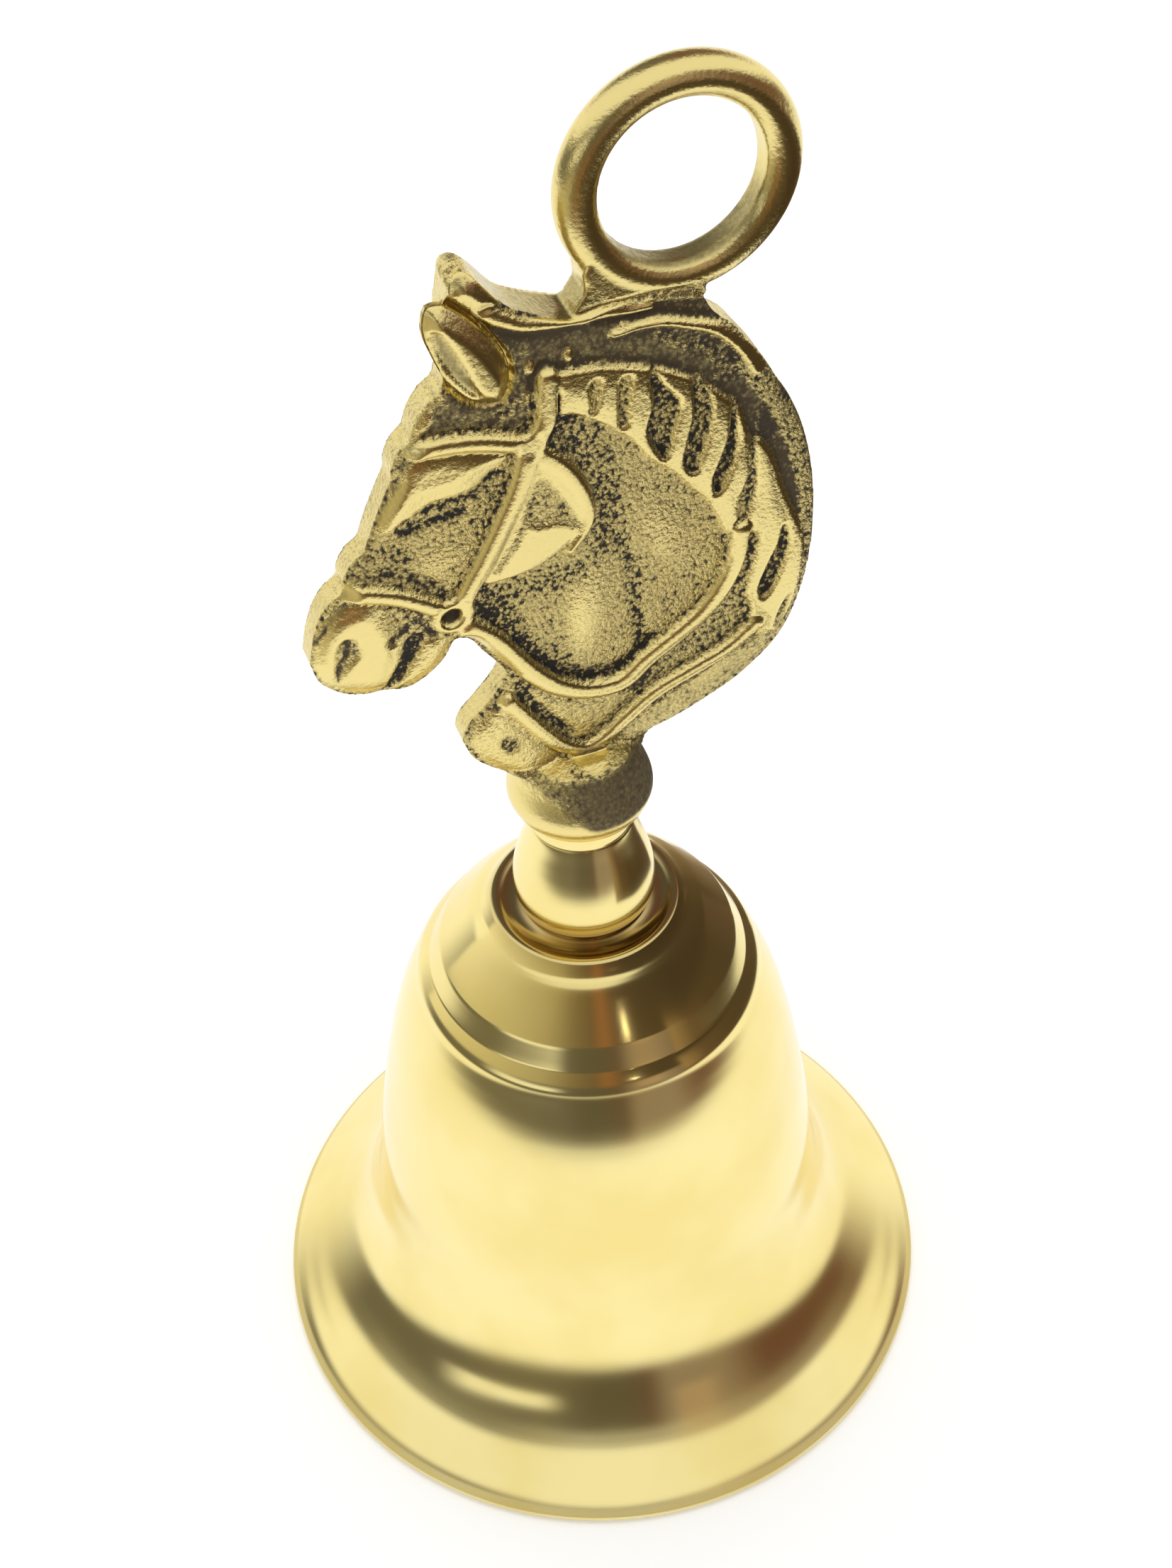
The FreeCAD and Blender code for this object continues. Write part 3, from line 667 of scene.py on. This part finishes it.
    # the two bands
    r.band([(-5.9, 76.5), (-5, 75), (-3.5, 72.6), (-2, 70.5), (-0.4, 69.4), (0.6, 69.3),
            (2, 70), (3.5, 71.3), (6, 73.1), (9, 74.3), (12, 75.5), (14.2, 77.2)],
           (1.3, 1.25), height=1.72, crown=0.2, patina=0.02, grain=0.08, shadow=0.3)
    r.band([(-8.4, 85), (-6.6, 83), (-5, 80.4), (-3.6, 78.4), (-2, 76.7), (0, 75.5),
            (2, 75.1), (3.6, 75.4), (5.4, 76.9), (7.6, 78.3), (9.8, 79.9), (11.4, 81.9),
            (12.4, 84.2), (12.8, 86.8)], (1.7, 1.45), height=1.8, crown=0.24, patina=0,
           grain=0.06, shadow=0.25)
    r.band([(3.4, 106.5), (5.1, 106.7), (7, 106.5), (8.8, 105.8), (10, 105.3), (11, 104.7),
            (12.2, 103.5), (13.2, 102.2), (13.9, 100.8)], (0.5, 1.1), edge=0.3, height=1.62,
           crown=0.1, patina=0.02, grain=0.12)
    r.band([(-5.8, 111.2), (-5.1, 110.5), (-4, 109.7), (-3.1, 109.2), (-2.1, 108.9),
            (-0.1, 108.6), (2, 108.4), (4.5, 108.2), (6, 108.1)], (1.2, 0.7), edge=0.3,
           height=1.62, crown=0.12, patina=0.02, grain=0.08)
    r.area([(4.6, 108.6), (7, 108.4), (9.8, 107.9), (10.2, 108.6), (8, 109.2),
            (5.4, 109.4)], edge=0.6, patina=0.45, grain=0.35)
    # far ear: a soft rod that ends in a small nub
    r.area([(-8, 113.4), (-7.2, 114.2), (-6.5, 114.5), (-5.7, 113.4), (-5, 112.5),
            (-4.4, 111.6), (-4.5, 111.1), (-5.4, 110.9), (-6, 110.8), (-6.8, 111.6),
            (-7.5, 112.4)], edge=0.5, height=1.5, dome=0.5, patina=0.02, grain=0.06)
    r.spot((-7.2, 114.2), (1.6, 1.3), patina=0, grain=0.05)


def face_relief(r):
    """Face, muzzle, bridle and ear."""
    # face between browband and noseband
    r.area([(-11.2, 101.4), (-7, 100.8), (-3.6, 99.2), (-4.6, 95.6), (-7.2, 90.6),
            (-9.4, 88.8), (-12.4, 89.6), (-16.8, 91.4), (-15.6, 94), (-13.4, 98.6)],
           edge=0.4, height=1.42, patina=0.2, grain=0.75)
    r.spot((-13.4, 93.4), (2.6, 1.4), -25, patina=0.4, grain=0.9)
    r.spot((-5.9, 95.4), (1.6, 3.6), -28, patina=0.36, grain=0.95)
    r.spot((-10, 91.6), (2.9, 2), soft=0.9, patina=0.04, grain=0.55, dome=0.16)
    r.area([(-14.3, 97.2), (-13, 99.2), (-11, 100.9), (-7.4, 100.5), (-4.6, 99.2),
            (-6.2, 97.8), (-8, 97), (-10.4, 97), (-12.2, 96), (-13.8, 95.6)],
           edge=0.5, height=1.56, dome=0.22, patina=0.05, grain=0.08)
    r.spot((-9.6, 99.3), (2.6, 1), patina=0.16, dome=-0.06)
    r.band([(-12.6, 95.2), (-11.2, 96.1), (-10, 96.5), (-8.4, 96.5), (-7, 96.6),
            (-5.6, 97.8)], 0.7, edge=0.6, height=1.35, patina=0.55, grain=0.9)
    r.band([(-12.2, 94.9), (-11, 95.2), (-9.8, 95.4), (-8.2, 95.4)], (0.5, 0.9), edge=0.5,
           height=1.25, patina=0.72, grain=0.7)
    r.band([(-12.6, 95.9), (-11.6, 96.2), (-10.4, 95.8), (-9.2, 95.9)], 0.35, edge=0.3,
           patina=0.35, grain=0.8)
    r.band([(-16.8, 92.6), (-15.2, 92.2), (-13.4, 91.6), (-11.8, 90.6), (-10.2, 89.2)],
           (1.2, 0.9), edge=0.8, height=1.2, patina=0.5, grain=0.6)
    # strip of the nose's edge, outside the face
    r.band([(-11.4, 101), (-12.6, 99), (-13.9, 97), (-15.2, 93.6)], 0.5, edge=0.5,
           patina=0.45, grain=0.5)
    # cheek plate with its raised rim
    r.area([(-2.4, 99.2), (-0.6, 97.4), (0.6, 94.8), (1.3, 92.4), (0.4, 90.9), (-1.6, 89.3),
            (-4.2, 88.4), (-7.4, 88.7), (-6.4, 91.4), (-4.6, 94.8), (-3.2, 97.6)],
           edge=0.3, height=1.72, dome=0.05, patina=0, grain=0.05)
    r.area([(-2.4, 96.4), (-0.9, 94.6), (0.2, 91.7), (-1.2, 92.2), (-2.8, 92.4), (-3.6, 93.4)],
           edge=0.7, height=1.6, patina=0.2, grain=0.7)
    r.band([(-0.9, 93.6), (-0.5, 92.5), (0.1, 91.6)], 0.6, edge=0.5, patina=0.42, grain=0.9)
    r.band([(-3, 94.6), (-4.2, 91.8), (-5.9, 89.4)], 0.5, edge=0.5, patina=0.28, grain=0.9)
    r.band([(-0.2, 101), (-0.3, 99.2), (0.6, 98.3), (1.5, 96.6), (1.8, 94.2)], 0.7,
           edge=0.4, patina=0.42, grain=0.9)
    r.band([(-2.5, 98.6), (-0.9, 97.2), (0.4, 95.1), (1.1, 92.8), (0.8, 91), (-0.4, 89.4)],
           (1.3, 0.7), edge=0.5, height=1.9, patina=0, grain=0.04)
    # muzzle, nostril and lips
    r.area([(-19.6, 86.8), (-19.6, 84.2), (-18.2, 82.4), (-16, 81.3), (-14.8, 81.6),
            (-13.6, 84), (-13.6, 87.2), (-15, 89.6), (-17, 89.8), (-18.8, 88.8)],
           edge=0.45, height=1.42, dome=0.3, patina=0.02, grain=0.06)
    r.spot((-13.5, 87.6), (1.9, 2), -20, patina=0.24, grain=0.7)
    r.band([(-17.2, 89.9), (-18.4, 88.6), (-19.4, 87.2)], 0.5, edge=0.5, patina=0.55, grain=0.3)
    r.area([(-17.4, 87.1), (-16.5, 86.6), (-16.6, 85.4), (-17.4, 84.6), (-18.2, 83.2),
            (-18.5, 84), (-18.4, 85.6), (-18.1, 86.6)], edge=0.5, height=1.5, patina=0.4,
           grain=0.35)
    r.band([(-17.3, 86.8), (-17.5, 85.6), (-18.1, 84.6), (-18.3, 83.5)], (0.6, 0.3), edge=0.3,
           height=1.38, patina=0.62, grain=0.3)
    r.area([(-14.4, 81.6), (-12.6, 81.1), (-11, 81.9), (-9.9, 83.4), (-10.2, 84.8),
            (-11.6, 85.2), (-12.8, 83.8)], height=1.4, dome=0.2, patina=0.06,
           grain=0.25)
    r.area([(-14.9, 81.4), (-13.8, 83.2), (-12.8, 85.5), (-11.6, 85.2), (-12.9, 83),
            (-13.9, 81.5)], height=1.15, patina=0.66, grain=0.7)
    r.band([(-14, 85.6), (-13, 86.4), (-12, 86.9), (-11.4, 85.8), (-11, 85)],
           (0.8, 0.6), edge=0.5, height=1.25, patina=0.62, grain=0.5)
    # straps
    straps = [
        ([(-11, 101.6), (-9.4, 101.5), (-7, 101), (-4.6, 100.1), (-3, 99.4)], 1.35),
        ([(-1.4, 104.5), (-1.5, 103), (-1.7, 101.2), (-2.2, 100.2), (-2.9, 99.2)], 1.5),
        ([(-2.9, 99.6), (-3.8, 96.4), (-5.2, 93.4), (-6.6, 90.8), (-7.8, 88.9), (-8.6, 87.4)],
         1.5),
        ([(-17.6, 91.3), (-16, 90.8), (-14, 90), (-12.2, 88.9), (-10.8, 87.8)], 1.35),
    ]
    for line, width in straps:
        r.band(line, width, height=1.8, crown=0.22, patina=0, grain=0.06, shadow=0.3)
    r.spot((-2.7, 99.4), (1.5, 1.3), height=1.9, patina=0, grain=0.05)
    r.spot((-9.4, 86.5), (1.9, 1.8), soft=0.3, height=1.85, patina=0, grain=0.03)
    r.spot((-9.6, 86.5), (0.95, 0.9), soft=0.5, height=1, patina=0.95, grain=0.2)
    # hollow behind the ear, then the ear's rims
    r.area([(-8.4, 112), (-6, 110.6), (-4.4, 108.8), (-2.4, 107.6), (-2.8, 104.6),
            (-3.2, 101.2), (-7, 102.2), (-10.4, 102.6), (-9, 104.4), (-7.6, 107)],
           edge=0.4, height=1.25, patina=0.58, grain=0.2)
    r.spot((-4.2, 102.8), (1.4, 1), 20, patina=0.48, grain=0.6)
    r.spot((-10.3, 103.6), (1.3, 0.9), 50, height=1.5, patina=0.06, grain=0.3)
    for x, z in ((-2.5, 105.5), (0.2, 105.7)):
        r.spot((x, z), (0.42, 0.75), soft=0.7, height=1.55, patina=0.08, grain=0.2)
    r.area(NEAR_EAR, edge=0.25, height=1.8, patina=0.02, grain=0.05)
    r.area([(-9, 111.7), (-8.1, 110.7), (-7.1, 109.7), (-6.3, 108.8), (-5.6, 108),
            (-4.9, 106.9), (-4.3, 107.2), (-5.2, 109), (-6.1, 110.3), (-7.2, 111.5),
            (-8.2, 112.4)], edge=0.7, patina=0.34, grain=0.08)


def cavities(points, height, reach=0.75, cell=0.25):
    """How far each point lies below the height of its surroundings, in mm."""
    low = points.min(axis=0) - 3 * reach
    column, row = np.round((points - low) / cell).astype(int).T
    shape = (column.max() + int(4 * reach / cell), row.max() + int(4 * reach / cell))
    total, weight = np.zeros(shape), np.zeros(shape)
    np.add.at(total, (column, row), height)
    np.add.at(weight, (column, row), 1.0)
    steps = np.arange(-int(2.5 * reach / cell), int(2.5 * reach / cell) + 1) * cell
    kernel = np.exp(-(steps / reach) ** 2)
    for axis in (0, 1):
        total, weight = (np.apply_along_axis(np.convolve, axis, grid, kernel, "same")
                         for grid in (total, weight))
    return (total / np.maximum(weight, 1e-9))[column, row] - height


def ear_hollow(points):
    """How far the leaf of the ear is scooped between its two rims, 0 to 1."""
    gap, share = distance(points, spline(EAR_HOLLOW, 6))
    width = 0.5 * np.sin(np.clip(0.15 + 0.75 * share, 0, 1) * math.pi) + 0.05
    return smooth((width - gap) / 0.6 + 0.5)


def toward(values, target, share):
    """Values moved to the target by a share from 0 to 1."""
    return values + (target - values) * share


def drawn_relief(p):
    """The relief's height, patina with its painted shade, and grain at each (x, z)."""
    # towards the nose the plate is thinner, and the drawing is shifted a little there
    thin = smooth((-4.0 - p[:, 0]) / 8.0)
    r = Relief(p + np.column_stack([-0.10 * thin, 0.33 * thin]))
    neck_relief(r)
    face_relief(r)
    return r.values


class Zones:
    """Where each vertex of the casting lies: depths in mm, and shares from 0 to 1."""

    def __init__(self, x, y, z):
        p = np.column_stack([x, z])
        self.edge = inside(p, outline_loop())
        self.ear_depth = inside(p, spline(NEAR_EAR, 6, closed=True))
        self.ring_gap = np.hypot(x - RING_CENTRE[0], z - RING_CENTRE[1])
        self.ring = (smooth((RING_R + WIRE_R + 0.9 - self.ring_gap) / 0.8)
                     * smooth((z - 108.6) / 0.8))
        self.turned = smooth((68.9 - z) / 0.8)
        ear_only = smooth((-self.edge - 0.2) / 0.4) * (z > 100)
        self.plate = ((1 - self.ring) * (1 - self.turned) * (1 - ear_only)
                      * smooth((2.15 - np.abs(y)) / 0.25))
        self.ear_front = smooth((-y - 1.5) / 0.4) * (self.ear_depth > -0.4)
        self.ear_scoop = ear_hollow(p)


def skin(x, y, z, at, drawn, sunk):
    """Patina with painted shade, and grain: as drawn, with painted shade added where sunk, then
    each plain stretch.
    """
    # painted shade: darker where the face is sunk below its surroundings, lighter where it stands
    # proud
    patina = drawn["patina"] + np.clip(sunk, 0.0, 0.3) - 0.7 * np.clip(-sunk, 0.0, 0.3)
    grain = drawn["grain"]
    # the plate's side wall; on top of the poll it is smoother, and browner as painted shade
    wall = smooth((0.42 - at.edge) / 0.35) * smooth((0.9 - np.abs(y) / PLATE_Y) / 0.2)
    poll_top = smooth((z - 107.0) / 1.2) * smooth((3.5 - x) / 1.5) * smooth((x + 6.4) / 1.0)
    brow = smooth((-6.0 - x) / 2.0) * (1 - poll_top)
    patina = toward(patina, 0.12 + 0.34 * poll_top, wall)
    grain = toward(grain, 0.6 - 0.54 * poll_top - 0.3 * brow, wall)
    # the near ear has clean sides and a darker hollow
    ear_side = smooth((0.6 - np.abs(at.ear_depth)) / 0.3) * smooth((-y - 1.2) / 0.3)
    patina = toward(patina, 0.10, ear_side)
    grain = toward(grain, 0.05, ear_side)
    patina = toward(patina, 0.55, at.ear_front * at.ear_scoop)
    # the ring is darker low in its bore
    bore = smooth((RING_R - 0.7 - at.ring_gap) / 0.4) * smooth((118.0 - z) / 6.0)
    patina = toward(patina, 0.10 + 0.45 * bore, at.ring)
    grain = toward(grain, 0.05, at.ring)
    # the bulb is bright below and dark above, and rougher to the left
    left = smooth((-x - 0.5) / 4.0)
    rough_cast = smooth((z - 63.6 - 2.4 * left) / (0.9 + 1.2 * left))
    patina = toward(patina, (0.66 - 0.14 * left) * rough_cast, at.turned)
    grain = toward(grain, 0.02 + (0.05 + 0.30 * left) * rough_cast, at.turned)
    return np.clip(patina, 0, 1), np.clip(grain, 0, 1)


def carve(co):
    """The casting's vertices (mm) with their relief, and their patina with painted shade, and
    grain.
    """
    x, y, z = co.T
    p = np.column_stack([x, z])
    at = Zones(x, y, z)
    drawn = drawn_relief(p)
    # a thinner rim, which swells at the back of the neck and at the poll
    rim = 1.08 + 0.22 * smooth((x - 2.0) / 8.0) + 0.15 * smooth((z - 99.0) / 7.0)
    rim += smooth(1.5 * (1.15 - np.hypot((x + 2.0) / 8.0, (z - 110.6) / 3.4)))
    rounded = toward(rim, drawn["height"], smooth(at.edge / 1.1))
    height = np.minimum(drawn["height"], rounded)
    # the far side of the poll is plain and full
    poll = (y > 0) * smooth((z - 107.4) / 1.0) * smooth((5.0 - x) / 2.0)
    height = toward(height, np.maximum(height, rim), poll)
    new_y = y * (1 + (height / PLATE_Y - 1) * at.plate)
    new_y += at.ear_front * (0.85 * (1 - smooth(at.ear_depth / 1.3)) + 0.55 * at.ear_scoop)
    on_face = np.abs(y) > 0.8 * PLATE_Y
    sunk = np.zeros(len(p))
    sunk[on_face] = cavities(p[on_face], height[on_face])
    patina, grain = skin(x, y, z, at, drawn, sunk * at.plate)
    return np.column_stack([x, new_y, z]), patina, grain


def snap_turned_foot(co):
    """Puts the foot's vertices exactly on its turned profile."""
    side = spline(BULB_SIDE, 6)
    r = np.hypot(co[:, 0], co[:, 1])
    true = np.interp(co[:, 2], side[:, 1], side[:, 0])
    on_side = (co[:, 2] > 62.25) & (co[:, 2] < 67.2) & (r > 3.6)
    pull = np.where(on_side, true / np.maximum(r, 1e-9), 1.0)
    co[:, :2] *= pull[:, None]
    return co


SNAP_REACH = 0.34         # how far off the wire's surface a vertex still belongs to it
RING_FOOT_Z = 112.2       # the ring is free of the head above this height


def snap_ring(co):
    """Puts the ring's vertices exactly on its round wire, away from the foot."""
    dx, dz = co[:, 0] - RING_CENTRE[0], co[:, 2] - RING_CENTRE[1]
    far = np.hypot(dx, dz)
    off = far - RING_R
    wire = np.hypot(off, co[:, 1])
    near = (np.abs(wire - WIRE_R) < SNAP_REACH) & (co[:, 2] > RING_FOOT_Z)
    k = WIRE_R / np.maximum(wire, 1e-9)
    new_far = np.maximum(RING_R + off * k, RING_BORE_R)
    pull = np.where(near, new_far / np.maximum(far, 1e-9), 1.0)
    co[:, 0] = RING_CENTRE[0] + dx * pull
    co[:, 2] = RING_CENTRE[1] + dz * pull
    co[:, 1] = np.where(near, co[:, 1] * k, co[:, 1])
    return co


def add_handle(material):
    handle = remeshed(new_object("horse_casting", casting_blank()), VOXEL)
    mesh = handle.data
    co = np.zeros(len(mesh.vertices) * 3)
    mesh.vertices.foreach_get("co", co)
    co = co.reshape(-1, 3) / MM
    co = snap_ring(snap_turned_foot(co))
    co, patina, grain = carve(co)
    mesh.vertices.foreach_set("co", (co * MM).astype(np.float32).ravel())
    for name, values in (("patina", patina), ("grain", grain)):
        layer = mesh.attributes.new(name, "FLOAT", "POINT")
        layer.data.foreach_set("value", values.astype(np.float32))
    mesh.materials.clear()
    mesh.materials.append(material)
    mesh.shade_smooth()
    mesh.update()
    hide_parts("horse_handle")
    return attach(handle, "bell")


# ---- studio ----

def add_floor():
    bm = bmesh.new()
    bmesh.ops.create_grid(bm, x_segments=1, y_segments=1, size=900)
    floor = new_object("floor", bm)
    n = new_surface("floor")
    n.shader.inputs["Base Color"].default_value = (0.94, 0.94, 0.935, 1)
    n.shader.inputs["Roughness"].default_value = 0.9
    n.shader.inputs["Specular IOR Level"].default_value = 0.1
    floor.data.materials.append(n.owner)
    floor.visible_glossy = False


def add_world():
    """White studio. The metal mirrors a pale table, a dark room round it with one
    window, and a pale ceiling in front."""
    world = bpy.data.worlds.new("studio")
    bpy.context.scene.world = world
    n = Nodes(world, "Background")
    rad = math.radians
    direction = n.add("ShaderNodeTexCoord").outputs["Generated"]
    part = n.add("ShaderNodeSeparateXYZ", {"Vector": direction}).outputs
    rise = n.math("ARCSINE", part["Z"])
    turn = n.add("ShaderNodeVectorRotate", {"Vector": direction, "Angle": rad(CAMERA_YAW)},
                 rotation_type="Z_AXIS").outputs["Vector"]
    side = n.add("ShaderNodeSeparateXYZ", {"Vector": turn}).outputs
    # 0 towards the camera, growing to the camera's right
    bearing = n.math("ARCTAN2", side["X"], n.times(side["Y"], -1.0))
    aside = n.math("ABSOLUTE", bearing)

    def between(value, rise_from, rise_to, fall_from, fall_to):
        """1 inside a range of degrees, easing to 0 outside it."""
        return n.times(n.step(value, rad(rise_from), rad(rise_to)),
                       n.step(value, rad(fall_from), rad(fall_to), 1.0, 0.0))

    # a low dark band in front and at the sides, thinner towards the sides
    squeeze = n.step(aside, rad(30), rad(110), 0.0, rad(17))
    low = n.step(n.math("SUBTRACT", rise, n.times(squeeze, 0.4)), rad(-25), rad(-15.5))
    high = n.step(n.math("ADD", rise, squeeze), rad(23), rad(32), 1.0, 0.0)
    band = n.times(n.times(low, high), n.step(aside, rad(98), rad(132), 1.0, 0.0))
    band = n.times(band, n.step(bearing, rad(-22), rad(-2), 0.92, 0.96))
    paler = n.times(between(bearing, 14, 24, 40, 62), 0.16)
    band = n.times(band, n.math("SUBTRACT", 1.0, paler))
    window = n.times(between(rise, -4, 3, 9, 17), between(bearing, -66, -50, -26, -14))
    band = n.times(band, n.math("SUBTRACT", 1.0, n.times(window, 0.9)))
    # the dark far side of the room, which surfaces that face up mirror
    far = n.times(between(rise, 4, 28, 66, 80), n.step(aside, rad(118), rad(150)))
    flag = n.math("MAXIMUM", band, n.times(far, 0.93))
    ceiling = n.step(rise, rad(14), rad(34))
    mirrored = n.mix(ceiling, (1.08, 1.08, 1.08), (0.95, 0.95, 0.95))
    shade = n.mix(n.step(bearing, rad(0), rad(30)), (0.075, 0.062, 0.045), (0.105, 0.030, 0.014))
    curtain = n.times(between(bearing, 22, 27, 36, 42), between(rise, -6, 4, 60, 70))
    shade = n.mix(curtain, shade, (0.27, 0.14, 0.075))
    mirrored = n.mix(flag, mirrored, shade)
    glossy = n.add("ShaderNodeLightPath").outputs["Is Glossy Ray"]
    n.link(n.mix(glossy, (1.0, 1.0, 1.0), mirrored), "Color")


def add_lamp(name, place, aim, size, power):
    data = bpy.data.lights.new(name, "AREA")
    data.shape = "DISK"
    data.size = size * MM
    data.energy = power
    lamp = bpy.data.objects.new(name, data)
    bpy.context.scene.collection.objects.link(lamp)
    lamp.location = Vector(place) * MM
    facing = (Vector(aim) - Vector(place)).normalized()
    lamp.rotation_mode = "QUATERNION"
    lamp.rotation_quaternion = facing.to_track_quat("-Z", "Y")
    lamp.visible_glossy = False


def mirrored_only(thing, strength, colour=None):
    """Makes a glowing studio thing that only mirror rays see. Without a colour it
    takes its vertices' own glow."""
    thing.visible_camera = thing.visible_diffuse = thing.visible_shadow = False
    n = new_surface(thing.name)
    if colour:
        n.shader.inputs["Emission Color"].default_value = (*colour, 1)
    else:
        glow = n.add("ShaderNodeAttribute", attribute_name="glow")
        n.link(glow.outputs["Color"], "Emission Color")
    n.shader.inputs["Emission Strength"].default_value = strength
    n.shader.inputs["Base Color"].default_value = (0, 0, 0, 1)
    n.shader.inputs["Specular IOR Level"].default_value = 0.0
    thing.data.materials.append(n.owner)


def add_strip(name, radius, rows):
    """A strip of card curved round the bell. Each row: degrees from the camera's
    side, lower edge, upper edge, glow."""
    bearings, low, high, glows = zip(*rows)
    lows = spline(list(zip(bearings, low)), 6)
    highs = spline(list(zip(bearings, high)), 6)
    bm = bmesh.new()
    glow = bm.verts.layers.float_color.new("glow")
    edges = []
    for (bearing, bottom), (_, top) in zip(lows, highs):
        a = math.radians(bearing - 90 - CAMERA_YAW)
        x, y = radius * math.cos(a), radius * math.sin(a)
        edges.append((bm.verts.new((x, y, bottom)), bm.verts.new((x, y, top))))
        for vert in edges[-1]:
            vert[glow] = [np.interp(bearing, bearings, channel) for channel in zip(*glows)] + [1]
    for (a, b), (c, d) in zip(edges, edges[1:]):
        bm.faces.new((a, c, d, b))
    mirrored_only(new_object(name, bm), 1.0)


def add_glint():
    """A small bright disc that the ridges of the crown mirror as points of light."""
    place, aim = Vector((2.3, -56.6, 67.3)), Vector((0, 0, 45))
    bm = bmesh.new()
    bmesh.ops.create_circle(bm, cap_ends=True, segments=32, radius=0.6)
    glint = new_object("glint", bm)
    glint.rotation_mode = "QUATERNION"
    glint.rotation_quaternion = (place - aim).to_track_quat("Z", "Y")
    glint.location = place * MM
    mirrored_only(glint, 30.0, (1.0, 0.93, 0.78))


def add_studio():
    add_floor()
    add_world()
    add_strip("upper_strip", 62, [
        (-104, 44, 88, (0.95, 0.92, 0.84)), (-80, 50, 96, (0.72, 0.68, 0.56)),
        (-50, 56, 104, (0.54, 0.50, 0.37)), (-28, 60, 108, (0.42, 0.37, 0.26)),
        (-12, 60, 110, (0.22, 0.175, 0.11)), (0, 60, 110, (0.15, 0.105, 0.065)),
        (8, 60, 110, (0.31, 0.14, 0.065)), (16, 60, 110, (0.12, 0.08, 0.05)),
        (33, 60, 110, (0.07, 0.047, 0.028)), (65, 52, 110, (0.05, 0.033, 0.02)),
        (93, 42, 104, (0.055, 0.036, 0.023)), (117, 32, 92, (0.07, 0.047, 0.03)),
        (135, 22, 84, (0.10, 0.07, 0.045)), (152, 10, 80, (0.22, 0.16, 0.11)),
        (164, 4, 76, (0.5, 0.4, 0.3))])
    add_strip("lower_strip", 30, [
        (42, 42, 53, (0.34, 0.24, 0.15)), (54, 41, 52, (0.12, 0.08, 0.05)),
        (72, 39, 51, (0.08, 0.055, 0.035)), (96, 38, 49, (0.08, 0.055, 0.04)),
        (124, 35, 47, (0.12, 0.08, 0.06))])
    add_glint()
    add_lamp("top", (60, 120, 700), (0, 0, 20), 420, 1.2)


# ---- build ----

add_camera()
add_studio()
brass = turned_brass()
steel = plated_steel()
ball_brass = dull_brass()
turned_piece("bell_shell", "bell_body", bell_profile(), brass, BELL_SEGMENTS)
turned_piece("ferrule", "neck_ferrule", ferrule_profile(), brass, FERRULE_SEGMENTS)
add_handle(cast_brass())
finishes = {"crown_washer": steel, "clamp_nut": steel, "clapper_eye_bolt": steel,
            "clapper_link": steel, "clapper_rod": steel, "clapper_ball": ball_brass}
for node, finish in finishes.items():
    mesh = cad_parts[node].data
    if mesh.materials:
        mesh.materials[0] = finish
    else:
        mesh.materials.append(finish)

settings = bpy.context.scene.view_settings
settings.view_transform = "Standard"
settings.look = "None"
